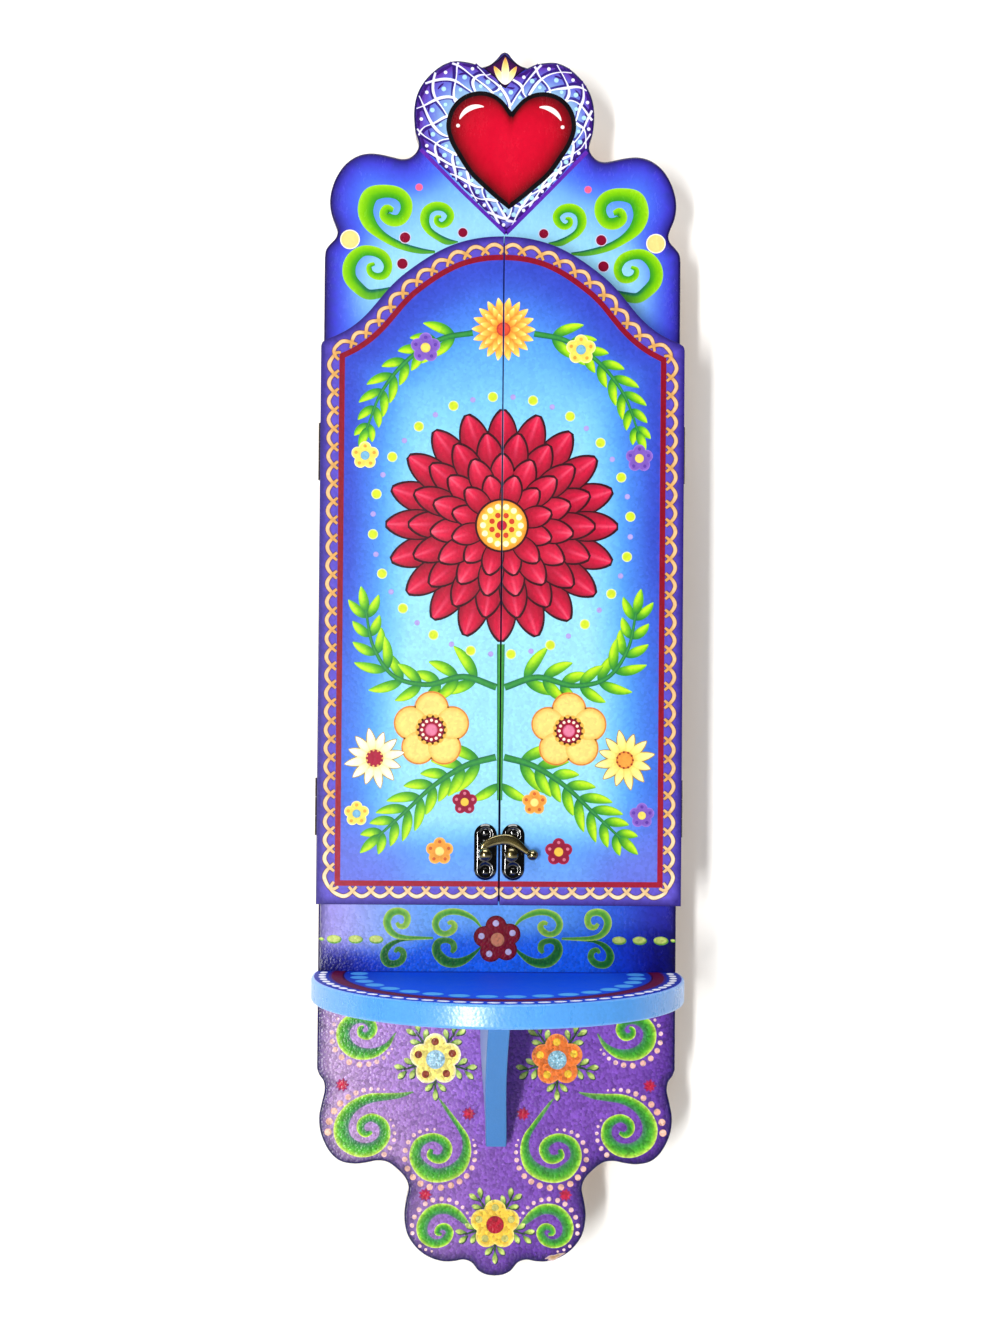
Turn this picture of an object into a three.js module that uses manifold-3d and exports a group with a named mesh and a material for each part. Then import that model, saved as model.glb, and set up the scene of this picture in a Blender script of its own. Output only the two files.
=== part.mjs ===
// Wooden ofrenda wall altar: a scalloped back board that carries a shallow
// arched cabinet with a pair of hinged doors, a swing-hook latch, a round
// shelf on a tapered bracket, and a keyhole hanger let into the back.
// Millimetres, +Z up. The wall plane is Y = 0 and the front faces -Y.
// The origin is the middle of the back face.

import * as THREE from 'three';
import { mergeVertices } from 'three/addons/utils/BufferGeometryUtils.js';
import Module from 'manifold-3d';

const wasm = await Module();
wasm.setup();

// ---------------------------------------------------------------- dimensions
const BOARD_T = 12; // back board thickness
const BOARD_HALF_W = 88.9; // half of the straight width

const DOOR_FRONT_Y = -32; // front face of the doors
const DOOR_T = 6.4;
const DOOR_BACK_Y = DOOR_FRONT_Y + DOOR_T;
const DOOR_HALF_W = 88.9;
const DOOR_SPLIT = 0.4; // half of the gap between the doors
const DOOR_BOTTOM_Z = -119.1;

const CARCASS_HALF_W = 87.9;
const CARCASS_WALL = 10;
const CARCASS_FRONT_Y = -23.6;
const CARCASS_BACK_Y = -BOARD_T - 0.1;
const CARCASS_BOTTOM_Z = -118.1;
const SIDE_TOP_Z = 145;
const JOINT_GAP = 0.3;

const HINGE_X = 88.6; // pin axis
const HINGE_Y = (DOOR_BACK_Y + CARCASS_FRONT_Y) / 2;
const HINGE_Z = [102, -72];
const HINGE_L = 28;
const KNUCKLE_R = 1.6;
const KNUCKLE_SIDES = 14;
const PIN_R = 0.75;
const PIN_PLAY = 0.04;
const LEAF_T = 0.8;
const LEAF_INNER = 0.18; // half of the gap between closed leaves
const LEAF_W = 9.6;
const KNUCKLE_MID = 4.57; // half length of the middle knuckle
const LEAF_SCREW_X = 5.6;
const LEAF_SCREW_Z = 8.6;

const SHELF_R = 91;
const SHELF_CENTRE_Y = -25;
const SHELF_TOP_Z = -154.1;
const SHELF_T = 11.3;

const BRACKET_HALF_T = 5.1;
const BRACKET_TOP_Z = SHELF_TOP_Z - SHELF_T - 0.1;
const BRACKET_BOTTOM_Z = -239;
const BRACKET_DEPTH_TOP = 66;
const BRACKET_DEPTH_TOE = 8;

const PLATE_X = 6.75; // latch plate centre, either side of the split
const PLATE_Z = -93.2;
const PLATE_HALF_W = 5.5;
const PLATE_HALF_H = 13.7;
const PLATE_T = 1.4;
const PLATE_BACK_Y = DOOR_FRONT_Y - 0.03;
const PLATE_FRONT_Y = PLATE_BACK_Y - PLATE_T;
const NAIL_DZ = 9.5; // nails above and below the plate's middle
const WELL_R = 2.7;
const WELL_DEPTH = 0.8;
const PIVOT_X = -6.85;
const PIVOT_Z = -94.1;
const STUD_X = 5.95;
const STUD_Z = -94.1;
const HOOK_BACK_Y = PLATE_FRONT_Y - 0.2;
const HOOK_T = 1.8;
const HOOK_BALL = [16.1, -94.1];
const HOOK_BALL_R = 2.3;
const PIVOT_SHANK_R = 1.0;
const PIVOT_PLAY = 0.08;

const SHELF_SCREW_X = [-55, 0, 55];
const SHELF_SCREW_Z = SHELF_TOP_Z - SHELF_T / 2;
const BRACKET_SCREW_Z = [-182, -207];
const KEYHOLE_Z = 262;
const KEYHOLE_PLATE = [38, 15, 1.6];

// Half outline of the board, from the crest's tip down the right side.
const CREST_FINIAL = [[0, 304.8], [1.7, 304.1], [3.8, 301.5], [7.4, 298.3], [11.3, 296.9]];
const CREST_AND_SHOULDER = [
  [11.3, 296.9], [15.3, 298.7], [20, 299.7], [25.3, 299.9], [30.7, 298.1], [36, 294.1], [40.7, 288.7],
  [43.7, 282.7], [45, 276.1], [45, 269.4], [44.3, 264], [42.9, 259.6], [42.7, 256.8], [44, 253.7],
  [47.3, 251], [51, 250.4], [55.5, 251.3], [61, 252.5], [67, 253], [73, 251.6], [79, 247.4], [83.4, 241],
  [85.8, 234.5], [86.6, 228.5], [85.8, 222.3], [83.7, 216.8], [82.7, 213.4], [83.6, 210.3], [86.2, 207.4],
  [88.3, 204.4], [BOARD_HALF_W, 200.5],
];
const SKIRT = [
  [BOARD_HALF_W, -202.6], [87.8, -205.6], [85.7, -208.6], [85, -212.8], [86.3, -219], [87.6, -226],
  [87.2, -232.5], [85.2, -238.6], [81.2, -245], [76.6, -248.4], [70.2, -249.6], [64, -249], [58.8, -248],
  [53.6, -248.7], [47.8, -253], [44.2, -257.3], [43, -261.6], [44, -267], [45, -273.1], [44.7, -279.3],
  [43.4, -284.4], [40.8, -288.8], [37, -292.8], [32, -295.9], [26, -297.7], [20.5, -297.7], [15.5, -296.9],
  [11.6, -298.2], [7.9, -302.4], [4, -304.3], [0, -304.8],
];
// Arched top of the right door, from its outer corner to the split.
const DOOR_TOP = [
  [DOOR_HALF_W, 152.6], [88.3, 154.5], [86.2, 156], [81.4, 158.1], [76, 161], [71, 164.7], [66.5, 169],
  [61.5, 174.9], [56.3, 181.2], [50.6, 186.9], [44.3, 191.9], [38, 196.3], [31.4, 200.2], [24.2, 203.5],
  [16, 205.9], [8, 207.2], [DOOR_SPLIT, 207.6],
];
// Under side of the cabinet's arch, from its springing to the middle.
const ARCH_UNDER = [
  [77.9, 147.4], [74.5, 148.9], [69.5, 152], [64.5, 156.2], [59.5, 161.7], [54.5, 168], [49, 174], [43, 179.4],
  [37, 184.2], [31, 188.4], [24, 192.1], [16, 194.7], [8, 196.1], [0, 196.5],
];
// Centre line of the hook's arm with its half widths.
const HOOK_LINE = [
  [-8.6, -92.3, 1.2], [-7.3, -90.2, 1.45], [-4.6, -88.6, 1.55], [-1.5, -87.5, 1.6], [1.9, -86.9, 1.6],
  [4.6, -87.1, 1.55], [7.2, -88.1, 1.4], [9.6, -89.7, 1.2], [11.9, -91.6, 1.0], [14.2, -93.3, 0.95],
];

// ------------------------------------------------------------------- helpers
const spline = (points, per) =>
  new THREE.CatmullRomCurve3(points.map(([x, z]) => new THREE.Vector3(x, z, 0)), false, 'centripetal')
    .getPoints((points.length - 1) * per)
    .map((v) => [v.x, v.y]);

function shapeOf(points) {
  return new THREE.Shape(points.map(([x, z]) => new THREE.Vector2(x, z)));
}

// A flat piece with its outline in the XZ plane, from yBack towards the front.
function slab(points, yBack, thickness) {
  const g = new THREE.ExtrudeGeometry(shapeOf(points), { depth: thickness, bevelEnabled: false, steps: 1 });
  g.translate(0, 0, -yBack);
  g.rotateX(Math.PI / 2);
  return g;
}

function box(x0, x1, y0, y1, z0, z1) {
  const g = new THREE.BoxGeometry(x1 - x0, y1 - y0, z1 - z0);
  g.translate((x0 + x1) / 2, (y0 + y1) / 2, (z0 + z1) / 2);
  return g;
}

function lathe(profile, sides) {
  return new THREE.LatheGeometry(profile.map(([r, y]) => new THREE.Vector2(r, y)), sides);
}

function upright(radius, length, sides) {
  const g = new THREE.CylinderGeometry(radius, radius, length, sides);
  g.rotateX(Math.PI / 2);
  return g;
}

function solid(geometry) {
  const bare = geometry.index ? geometry.toNonIndexed() : geometry.clone();
  bare.deleteAttribute('normal');
  bare.deleteAttribute('uv');
  const merged = mergeVertices(bare, 1e-4);
  const index = [];
  const src = merged.index.array;
  for (let i = 0; i < src.length; i += 3) {
    const [a, b, c] = [src[i], src[i + 1], src[i + 2]];
    if (a !== b && b !== c && a !== c) index.push(a, b, c);
  }
  // A profile turned from top to bottom faces inwards: turn it outwards.
  const p = merged.attributes.position;
  const v = (i) => new THREE.Vector3().fromBufferAttribute(p, i);
  let volume = 0;
  for (let i = 0; i < index.length; i += 3) volume += v(index[i]).dot(v(index[i + 1]).cross(v(index[i + 2])));
  if (volume < 0) {
    for (let i = 0; i < index.length; i += 3) [index[i + 1], index[i + 2]] = [index[i + 2], index[i + 1]];
  }
  return new wasm.Manifold(
    new wasm.Mesh({
      numProp: 3,
      vertProperties: Float32Array.from(merged.attributes.position.array),
      triVerts: Uint32Array.from(index),
    }),
  );
}

function geometryOf(manifold) {
  const m = manifold.getMesh();
  const positions = new Float32Array((m.vertProperties.length / m.numProp) * 3);
  for (let i = 0; i < positions.length / 3; i++) {
    for (let k = 0; k < 3; k++) positions[3 * i + k] = m.vertProperties[m.numProp * i + k];
  }
  const g = new THREE.BufferGeometry();
  g.setAttribute('position', new THREE.BufferAttribute(positions, 3));
  g.setIndex(Array.from(m.triVerts));
  g.computeVertexNormals();
  return g;
}

const cut = (base, tools) => {
  let result = solid(base);
  for (const tool of tools) result = result.subtract(solid(tool));
  return geometryOf(result);
};

const group = new THREE.Group();
function piece(name, geometry, color, roughness, metalness) {
  const mesh = new THREE.Mesh(geometry, new THREE.MeshStandardMaterial({ color, roughness, metalness }));
  mesh.name = name;
  group.add(mesh);
  return mesh;
}

const VIOLET = 0x5a45b8;
const ROYAL_BLUE = 0x3f62d8;
const SKY_BLUE = 0x5aa2ee;
const BRACKET_BLUE = 0x4a90d4;
const BRONZE = 0x4a3a22;
const HINGE_METAL = 0x3a342c;
const STEEL = 0xb8b8b4;

// A countersunk wood screw standing along Y, its head's face at the origin and
// turned to +Y. The cutter is the hole it sits in.
const screwBody = (headR, headH, shankR, length) =>
  lathe([[0, -0.06], [headR, -0.06], [shankR, -headH], [shankR, -length + shankR * 1.6], [0, -length]], 10);
const screwHole = (headR, headH, shankR, length) =>
  lathe([[0, 0.6], [headR + 0.14, 0.6], [headR + 0.14, 0], [shankR + 0.12, -headH + 0.02], [shankR + 0.12, -length - 0.3], [0, -length - 0.3]], 10);

// --------------------------------------------------------------- hinge screws
const HINGE_SCREW = [1.45, 0.78, 0.58, 5];
const hingeSets = [];
for (const s of [-1, 1]) {
  HINGE_Z.forEach((z, i) => {
    hingeSets.push({ s, z, name: `hinge_${s < 0 ? 'left' : 'right'}_${i === 0 ? 'upper' : 'lower'}` });
  });
}
function hingeScrewAt(geometry, h, dz, onFrame) {
  const g = geometry.clone();
  if (onFrame) g.rotateX(Math.PI);
  g.translate(h.s * (HINGE_X - LEAF_SCREW_X), HINGE_Y + (onFrame ? LEAF_INNER : -LEAF_INNER), h.z + dz);
  return g;
}
const hingeHoles = (s, onFrame) =>
  hingeSets
    .filter((h) => h.s === s)
    .flatMap((h) => [-LEAF_SCREW_Z, LEAF_SCREW_Z].map((dz) => hingeScrewAt(screwHole(...HINGE_SCREW), h, dz, onFrame)));

// ----------------------------------------------------------------- back board
const halfBoard = [...spline(CREST_FINIAL, 2), ...spline(CREST_AND_SHOULDER, 2).slice(1), ...spline(SKIRT, 2)];
const mirrored = halfBoard.slice(1, -1).reverse().map(([x, z]) => [-x, z]);
const boardOutline = [...halfBoard, ...mirrored];

const SHELF_SCREW = [3.5, 3.2, 1.75, 30];
const fromBack = (geometry, x, z) => {
  const g = geometry.clone();
  g.translate(x, -0.3, z);
  return g;
};
const backScrews = [
  ...SHELF_SCREW_X.map((x, i) => ({ name: `shelf_screw_${i + 1}`, x, z: SHELF_SCREW_Z })),
  ...BRACKET_SCREW_Z.map((z, i) => ({ name: `bracket_screw_${i + 1}`, x: 0, z })),
];
const backHole = (b) => fromBack(screwHole(...SHELF_SCREW), b.x, b.z);

const [kw, kh, kt] = KEYHOLE_PLATE;
const HANGER_SCREW = [2.6, 1.4, 1.1, 8];
const hangerX = [-14, 14];
const hangerScrew = (geometry, x) => {
  const g = geometry.clone();
  g.translate(x, -0.5, KEYHOLE_Z);
  return g;
};
const hangerPocket = box(-kw / 2 - 0.3, kw / 2 + 0.3, -kt - 0.7, 1, KEYHOLE_Z - kh / 2 - 0.3, KEYHOLE_Z + kh / 2 + 0.3);
const hangerCavity = box(-6, 6, -8, 1, KEYHOLE_Z - 6, KEYHOLE_Z + 6);
piece(
  'back_board',
  cut(slab(boardOutline, 0, BOARD_T), [
    ...backScrews.map(backHole),
    hangerPocket,
    hangerCavity,
    ...hangerX.map((x) => hangerScrew(screwHole(...HANGER_SCREW), x)),
  ]),
  VIOLET, 0.5, 0,
);

// Keyhole hanger: a plate let in below the back face, with a round entry under
// a narrow slot that the wall screw's shank rises into.
const entry = new THREE.CylinderGeometry(4.6, 4.6, 6, 20);
entry.translate(0, -1.3, KEYHOLE_Z - 1.6);
const slot = box(-2.3, 2.3, -4, 1.5, KEYHOLE_Z - 1.6, KEYHOLE_Z + 5.4);
piece(
  'hanger_plate',
  cut(box(-kw / 2, kw / 2, -kt - 0.5, -0.5, KEYHOLE_Z - kh / 2, KEYHOLE_Z + kh / 2), [
    entry, slot, ...hangerX.map((x) => hangerScrew(screwHole(...HANGER_SCREW), x)),
  ]),
  STEEL, 0.4, 0.9,
);
hangerX.forEach((x, i) =>
  piece(`hanger_screw_${i + 1}`, geometryOf(solid(hangerScrew(screwBody(...HANGER_SCREW), x))), STEEL, 0.4, 0.9));
backScrews.forEach((b) =>
  piece(b.name, geometryOf(solid(fromBack(screwBody(...SHELF_SCREW), b.x, b.z))), STEEL, 0.4, 0.9));

// -------------------------------------------------------------------- cabinet
const KNUCKLE_ROOM = KNUCKLE_R + 0.2;
for (const s of [-1, 1]) {
  const x0 = s < 0 ? -CARCASS_HALF_W : CARCASS_HALF_W - CARCASS_WALL;
  const notches = HINGE_Z.map((z) => {
    const inner = HINGE_X - KNUCKLE_ROOM;
    return box(
      s < 0 ? -CARCASS_HALF_W - 2 : inner, s < 0 ? -inner : CARCASS_HALF_W + 2,
      CARCASS_FRONT_Y - 1, HINGE_Y + KNUCKLE_ROOM, z - HINGE_L / 2 - 0.4, z + HINGE_L / 2 + 0.4,
    );
  });
  piece(
    s < 0 ? 'cabinet_side_left' : 'cabinet_side_right',
    cut(box(x0, x0 + CARCASS_WALL, CARCASS_FRONT_Y, CARCASS_BACK_Y, CARCASS_BOTTOM_Z, SIDE_TOP_Z), [...notches, ...hingeHoles(s, true)]),
    VIOLET, 0.55, 0,
  );
}
const innerHalf = CARCASS_HALF_W - CARCASS_WALL;
piece(
  'cabinet_floor',
  box(-innerHalf + JOINT_GAP, innerHalf - JOINT_GAP, CARCASS_FRONT_Y, CARCASS_BACK_Y, CARCASS_BOTTOM_Z, CARCASS_BOTTOM_Z + CARCASS_WALL),
  VIOLET, 0.55, 0,
);
const archTop = spline(DOOR_TOP, 2).map(([x, z]) => [x * (CARCASS_HALF_W / DOOR_HALF_W), z - 1.4]);
const archUnder = spline(ARCH_UNDER, 2);
const archHalf = [
  [innerHalf, SIDE_TOP_Z + JOINT_GAP], [CARCASS_HALF_W, SIDE_TOP_Z + JOINT_GAP], ...archTop.slice(0, -1), [0, archTop.at(-1)[1]],
];
const archOutline = [
  ...archHalf,
  ...archHalf.slice(0, -1).reverse().map(([x, z]) => [-x, z]),
  ...archUnder.map(([x, z]) => [-x, z]),
  ...archUnder.slice(0, -1).reverse(),
];
piece('cabinet_arch', geometryOf(solid(slab(archOutline, CARCASS_BACK_Y, CARCASS_BACK_Y - CARCASS_FRONT_Y))), VIOLET, 0.55, 0);

// ---------------------------------------------------------------------- latch
function plateOutline(cx) {
  const pts = [];
  const r = PLATE_HALF_W;
  const dz = PLATE_HALF_H - r;
  for (let i = 0; i <= 10; i++) {
    const a = (Math.PI * i) / 10;
    pts.push([cx + r * Math.cos(a), PLATE_Z + dz + r * Math.sin(a)]);
  }
  for (let i = 0; i <= 10; i++) {
    const a = Math.PI + (Math.PI * i) / 10;
    pts.push([cx + r * Math.cos(a), PLATE_Z - dz + r * Math.sin(a)]);
  }
  return pts;
}
const NAIL = { headR: 1.9, headH: 0.6, shankR: 0.6, length: 5 };
const wellFloorY = PLATE_FRONT_Y + WELL_DEPTH;
const frontwards = (geometry, x, y, z) => {
  const g = geometry.clone();
  g.rotateX(Math.PI);
  g.translate(x, y, z);
  return g;
};
const nailBody = lathe(
  [[0, NAIL.headH], [NAIL.headR * 0.6, NAIL.headH * 0.8], [NAIL.headR, 0.05], [NAIL.shankR, 0.03], [NAIL.shankR, -NAIL.length + 1], [0, -NAIL.length]], 12);
const nailHole = lathe([[0, 1], [NAIL.shankR + 0.12, 1], [NAIL.shankR + 0.12, -NAIL.length - 0.3], [0, -NAIL.length - 0.3]], 12);
const wellCutter = lathe([[0, 2], [WELL_R, 2], [WELL_R, 0], [0, 0]], 16);
const nailSpots = [-1, 1].flatMap((s) => [1, -1].map((v) => ({
  s, x: s * PLATE_X, z: PLATE_Z + v * NAIL_DZ, name: `latch_nail_${s < 0 ? 'left' : 'right'}_${v > 0 ? 'upper' : 'lower'}`,
})));
const pivotHole = lathe([[0, 3], [PIVOT_SHANK_R + PIVOT_PLAY, 3], [PIVOT_SHANK_R + PIVOT_PLAY, -3.2], [0, -3.2]], 18);
const postSpots = [{ s: -1, x: PIVOT_X, z: PIVOT_Z }, { s: 1, x: STUD_X, z: STUD_Z }];

for (const s of [-1, 1]) {
  const spots = nailSpots.filter((n) => n.s === s);
  const post = postSpots.find((p) => p.s === s);
  piece(
    s < 0 ? 'latch_plate_left' : 'latch_plate_right',
    cut(slab(plateOutline(s * PLATE_X), PLATE_BACK_Y, PLATE_T), [
      ...spots.map((n) => frontwards(wellCutter, n.x, wellFloorY, n.z)),
      ...spots.map((n) => frontwards(nailHole, n.x, wellFloorY, n.z)),
      frontwards(pivotHole, post.x, PLATE_FRONT_Y, post.z),
    ]),
    BRONZE, 0.38, 0.85,
  );
  spots.forEach((n) => piece(n.name, geometryOf(solid(frontwards(nailBody, n.x, wellFloorY, n.z))), BRONZE, 0.38, 0.85));
}
// Pivot rivet with a domed head over the hook's eye.
piece(
  'latch_pivot',
  geometryOf(solid(frontwards(
    lathe([[0, 4.6], [1.6, 4.3], [2.7, 3.5], [3.2, 2.25], [PIVOT_SHANK_R, 2.2], [PIVOT_SHANK_R, -3], [0, -3]], 18),
    PIVOT_X, PLATE_FRONT_Y, PIVOT_Z,
  ))),
  BRONZE, 0.35, 0.85,
);
// Catch stud under the hook's arm: a necked dome.
piece(
  'latch_stud',
  geometryOf(solid(frontwards(
    lathe([[0, 3.4], [1.7, 3.1], [2.9, 2.4], [3.3, 1.6], [2.9, 0.9], [2.5, 0.1], [PIVOT_SHANK_R, 0.05], [PIVOT_SHANK_R, -3], [0, -3]], 18),
    STUD_X, PLATE_FRONT_Y, STUD_Z,
  ))),
  BRONZE, 0.35, 0.85,
);
// Hook: a curved arm on an eye, ending in a ball.
function hookOutline() {
  const line = new THREE.CatmullRomCurve3(HOOK_LINE.map(([x, z, w]) => new THREE.Vector3(x, z, w)), false, 'centripetal')
    .getPoints((HOOK_LINE.length - 1) * 2);
  const left = [];
  const right = [];
  line.forEach((p, i) => {
    const a = line[Math.max(0, i - 1)];
    const b = line[Math.min(line.length - 1, i + 1)];
    const t = new THREE.Vector2(b.x - a.x, b.y - a.y).normalize();
    left.push([p.x - t.y * p.z, p.y + t.x * p.z]);
    right.push([p.x + t.y * p.z, p.y - t.x * p.z]);
  });
  return [...left, ...right.reverse()];
}
const eye = new THREE.CylinderGeometry(3.1, 3.1, HOOK_T, 20);
eye.translate(PIVOT_X, HOOK_BACK_Y - HOOK_T / 2, PIVOT_Z);
const ball = new THREE.SphereGeometry(HOOK_BALL_R, 14, 10);
ball.translate(HOOK_BALL[0], HOOK_BACK_Y - HOOK_BALL_R, HOOK_BALL[1]);
piece(
  'latch_hook',
  geometryOf(
    solid(slab(hookOutline(), HOOK_BACK_Y, HOOK_T)).add(solid(eye)).add(solid(ball))
      .subtract(solid(frontwards(pivotHole, PIVOT_X, PLATE_FRONT_Y, PIVOT_Z))),
  ),
  BRONZE, 0.35, 0.85,
);

// ---------------------------------------------------------------------- doors
for (const s of [-1, 1]) {
  const outline = [[DOOR_SPLIT, DOOR_BOTTOM_Z], [DOOR_HALF_W, DOOR_BOTTOM_Z], ...spline(DOOR_TOP, 2)].map(([x, z]) => [s * x, z]);
  const inner = HINGE_X - KNUCKLE_ROOM;
  const notches = HINGE_Z.map((z) => box(
    s < 0 ? -DOOR_HALF_W - 2 : inner, s < 0 ? -inner : DOOR_HALF_W + 2,
    HINGE_Y - KNUCKLE_ROOM, DOOR_BACK_Y + 1, z - HINGE_L / 2 - 0.4, z + HINGE_L / 2 + 0.4,
  ));
  const post = postSpots.find((p) => p.s === s);
  piece(
    s < 0 ? 'door_left' : 'door_right',
    cut(slab(outline, DOOR_BACK_Y, DOOR_T), [
      ...notches,
      ...hingeHoles(s, false),
      ...nailSpots.filter((n) => n.s === s).map((n) => frontwards(nailHole, n.x, wellFloorY, n.z)),
      frontwards(pivotHole, post.x, PLATE_FRONT_Y, post.z),
    ]),
    ROYAL_BLUE, 0.45, 0,
  );
}

// --------------------------------------------------------------------- hinges
function leafGeometry(h, onFrame) {
  const s = h.s;
  const near = 0.9;
  const clear = KNUCKLE_R + 0.3;
  const end = HINGE_L / 2;
  const own = onFrame ? KNUCKLE_MID + 0.2 : KNUCKLE_MID;
  const outer = onFrame ? near : clear;
  const middle = onFrame ? clear : near;
  const outline = [
    [LEAF_W, -end], [outer, -end], [outer, -own], [middle, -own], [middle, own], [outer, own], [outer, end], [LEAF_W, end],
  ].map(([x, z]) => [-s * x, z]);
  let body = solid(slab(outline, onFrame ? LEAF_INNER + LEAF_T : -LEAF_INNER, LEAF_T));
  const spans = onFrame ? [[-end, -own], [own, end]] : [[-own, own]];
  for (const [z0, z1] of spans) {
    const ring = upright(KNUCKLE_R, z1 - z0, KNUCKLE_SIDES);
    ring.translate(0, 0, (z0 + z1) / 2);
    body = body.add(solid(ring));
  }
  const bore = upright((PIN_R + PIN_PLAY) / Math.cos(Math.PI / KNUCKLE_SIDES), HINGE_L + 4, KNUCKLE_SIDES);
  body = body.subtract(solid(bore));
  const g = geometryOf(body);
  g.translate(s * HINGE_X, HINGE_Y, h.z);
  const holes = [-LEAF_SCREW_Z, LEAF_SCREW_Z].map((dz) => hingeScrewAt(screwHole(...HINGE_SCREW), h, dz, onFrame));
  return cut(g, holes);
}
for (const h of hingeSets) {
  piece(`${h.name}_frame_leaf`, leafGeometry(h, true), HINGE_METAL, 0.45, 0.85);
  piece(`${h.name}_door_leaf`, leafGeometry(h, false), HINGE_METAL, 0.45, 0.85);
  const pin = upright(PIN_R, HINGE_L + 0.6, KNUCKLE_SIDES);
  pin.translate(h.s * HINGE_X, HINGE_Y, h.z);
  piece(`${h.name}_pin`, geometryOf(solid(pin)), HINGE_METAL, 0.4, 0.9);
  [-LEAF_SCREW_Z, LEAF_SCREW_Z].forEach((dz, i) => {
    const tag = i === 0 ? 'b' : 'a';
    piece(`${h.name}_frame_screw_${tag}`, geometryOf(solid(hingeScrewAt(screwBody(...HINGE_SCREW), h, dz, true))), HINGE_METAL, 0.4, 0.85);
    piece(`${h.name}_door_screw_${tag}`, geometryOf(solid(hingeScrewAt(screwBody(...HINGE_SCREW), h, dz, false))), HINGE_METAL, 0.4, 0.85);
  });
}

// ---------------------------------------------------------- shelf and bracket
const shelfCut = -BOARD_T - 0.1;
const reach = Math.acos((SHELF_CENTRE_Y - shelfCut) / SHELF_R);
const shelfArc = [];
const SHELF_STEPS = 64;
for (let i = 0; i <= SHELF_STEPS; i++) {
  // From the right end round the front to the left end.
  const a = -reach + Math.PI / 2 + (2 * reach * i) / SHELF_STEPS - Math.PI;
  shelfArc.push([SHELF_R * Math.cos(a + Math.PI), SHELF_CENTRE_Y - SHELF_R * Math.sin(a + Math.PI)]);
}
const shelfShape = new THREE.ExtrudeGeometry(
  new THREE.Shape(shelfArc.map(([x, y]) => new THREE.Vector2(x, y))), { depth: SHELF_T, bevelEnabled: false, steps: 1 });
shelfShape.translate(0, 0, SHELF_TOP_Z - SHELF_T);
piece('shelf', cut(shelfShape, backScrews.filter((b) => b.name.startsWith('shelf')).map(backHole)), SKY_BLUE, 0.35, 0);

const finShape = new THREE.Shape([
  new THREE.Vector2(shelfCut, BRACKET_TOP_Z), new THREE.Vector2(-BOARD_T - BRACKET_DEPTH_TOP, BRACKET_TOP_Z),
  new THREE.Vector2(-BOARD_T - BRACKET_DEPTH_TOE, BRACKET_BOTTOM_Z), new THREE.Vector2(shelfCut, BRACKET_BOTTOM_Z),
]);
const fin = new THREE.ExtrudeGeometry(finShape, { depth: 2 * BRACKET_HALF_T, bevelEnabled: false, steps: 1 });
// The fin's outline is drawn as (Y, Z) and its thickness turned to run along X.
fin.applyMatrix4(new THREE.Matrix4().set(0, 0, 1, -BRACKET_HALF_T, 1, 0, 0, 0, 0, 1, 0, 0, 0, 0, 0, 1));
piece('shelf_bracket', cut(fin, backScrews.filter((b) => b.name.startsWith('bracket')).map(backHole)), BRACKET_BLUE, 0.45, 0);

export default group;
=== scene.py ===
import math

import bmesh
import bpy
import numpy as np
from mathutils import Matrix, Vector
from mathutils.geometry import delaunay_2d_cdt


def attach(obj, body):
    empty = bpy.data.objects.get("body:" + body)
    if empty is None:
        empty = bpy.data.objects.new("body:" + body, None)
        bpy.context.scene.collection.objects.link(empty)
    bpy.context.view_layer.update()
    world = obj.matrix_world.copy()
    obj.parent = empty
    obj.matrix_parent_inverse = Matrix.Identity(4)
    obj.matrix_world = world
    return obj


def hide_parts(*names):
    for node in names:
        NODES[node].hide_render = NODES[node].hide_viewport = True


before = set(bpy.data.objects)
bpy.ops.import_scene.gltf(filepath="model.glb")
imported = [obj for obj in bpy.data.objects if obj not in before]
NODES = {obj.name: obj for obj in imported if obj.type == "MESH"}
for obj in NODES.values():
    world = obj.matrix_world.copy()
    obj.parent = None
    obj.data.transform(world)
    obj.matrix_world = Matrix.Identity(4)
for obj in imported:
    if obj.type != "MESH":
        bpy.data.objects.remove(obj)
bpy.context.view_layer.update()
MM = 0.001

# ------------------------------------------------------------------ sizes, mm
BOARD_T = 12.0
BOARD_HALF_W = 88.9
DOOR_FRONT_Y = -32.0
DOOR_BACK_Y = -25.6
DOOR_HALF_W = 88.9
DOOR_SPLIT = 0.4
DOOR_BOTTOM_Z = -119.1
HINGE_X, HINGE_Y, HINGE_Z, HINGE_L = 88.6, -24.6, (102.0, -72.0), 28.0
SHELF_R, SHELF_CY, SHELF_TOP, SHELF_T = 91.0, -25.0, -154.1, 11.3
SHELF_BACK = -12.1
BRACKET_HALF = 5.1
BRACKET_TOP, BRACKET_BOTTOM = -165.5, -239.0
PLATE_X, PLATE_Z, PLATE_HW, PLATE_HH = 6.75, -93.2, 5.5, 13.7
PLATE_BACK, PLATE_FRONT = -32.03, -33.43
PIVOT, STUD = (-6.85, -94.1), (5.95, -94.1)
HOOK_BACK, HOOK_T = -33.63, 1.8
BALL, BALL_R = (16.1, -94.1), 2.75

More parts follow.
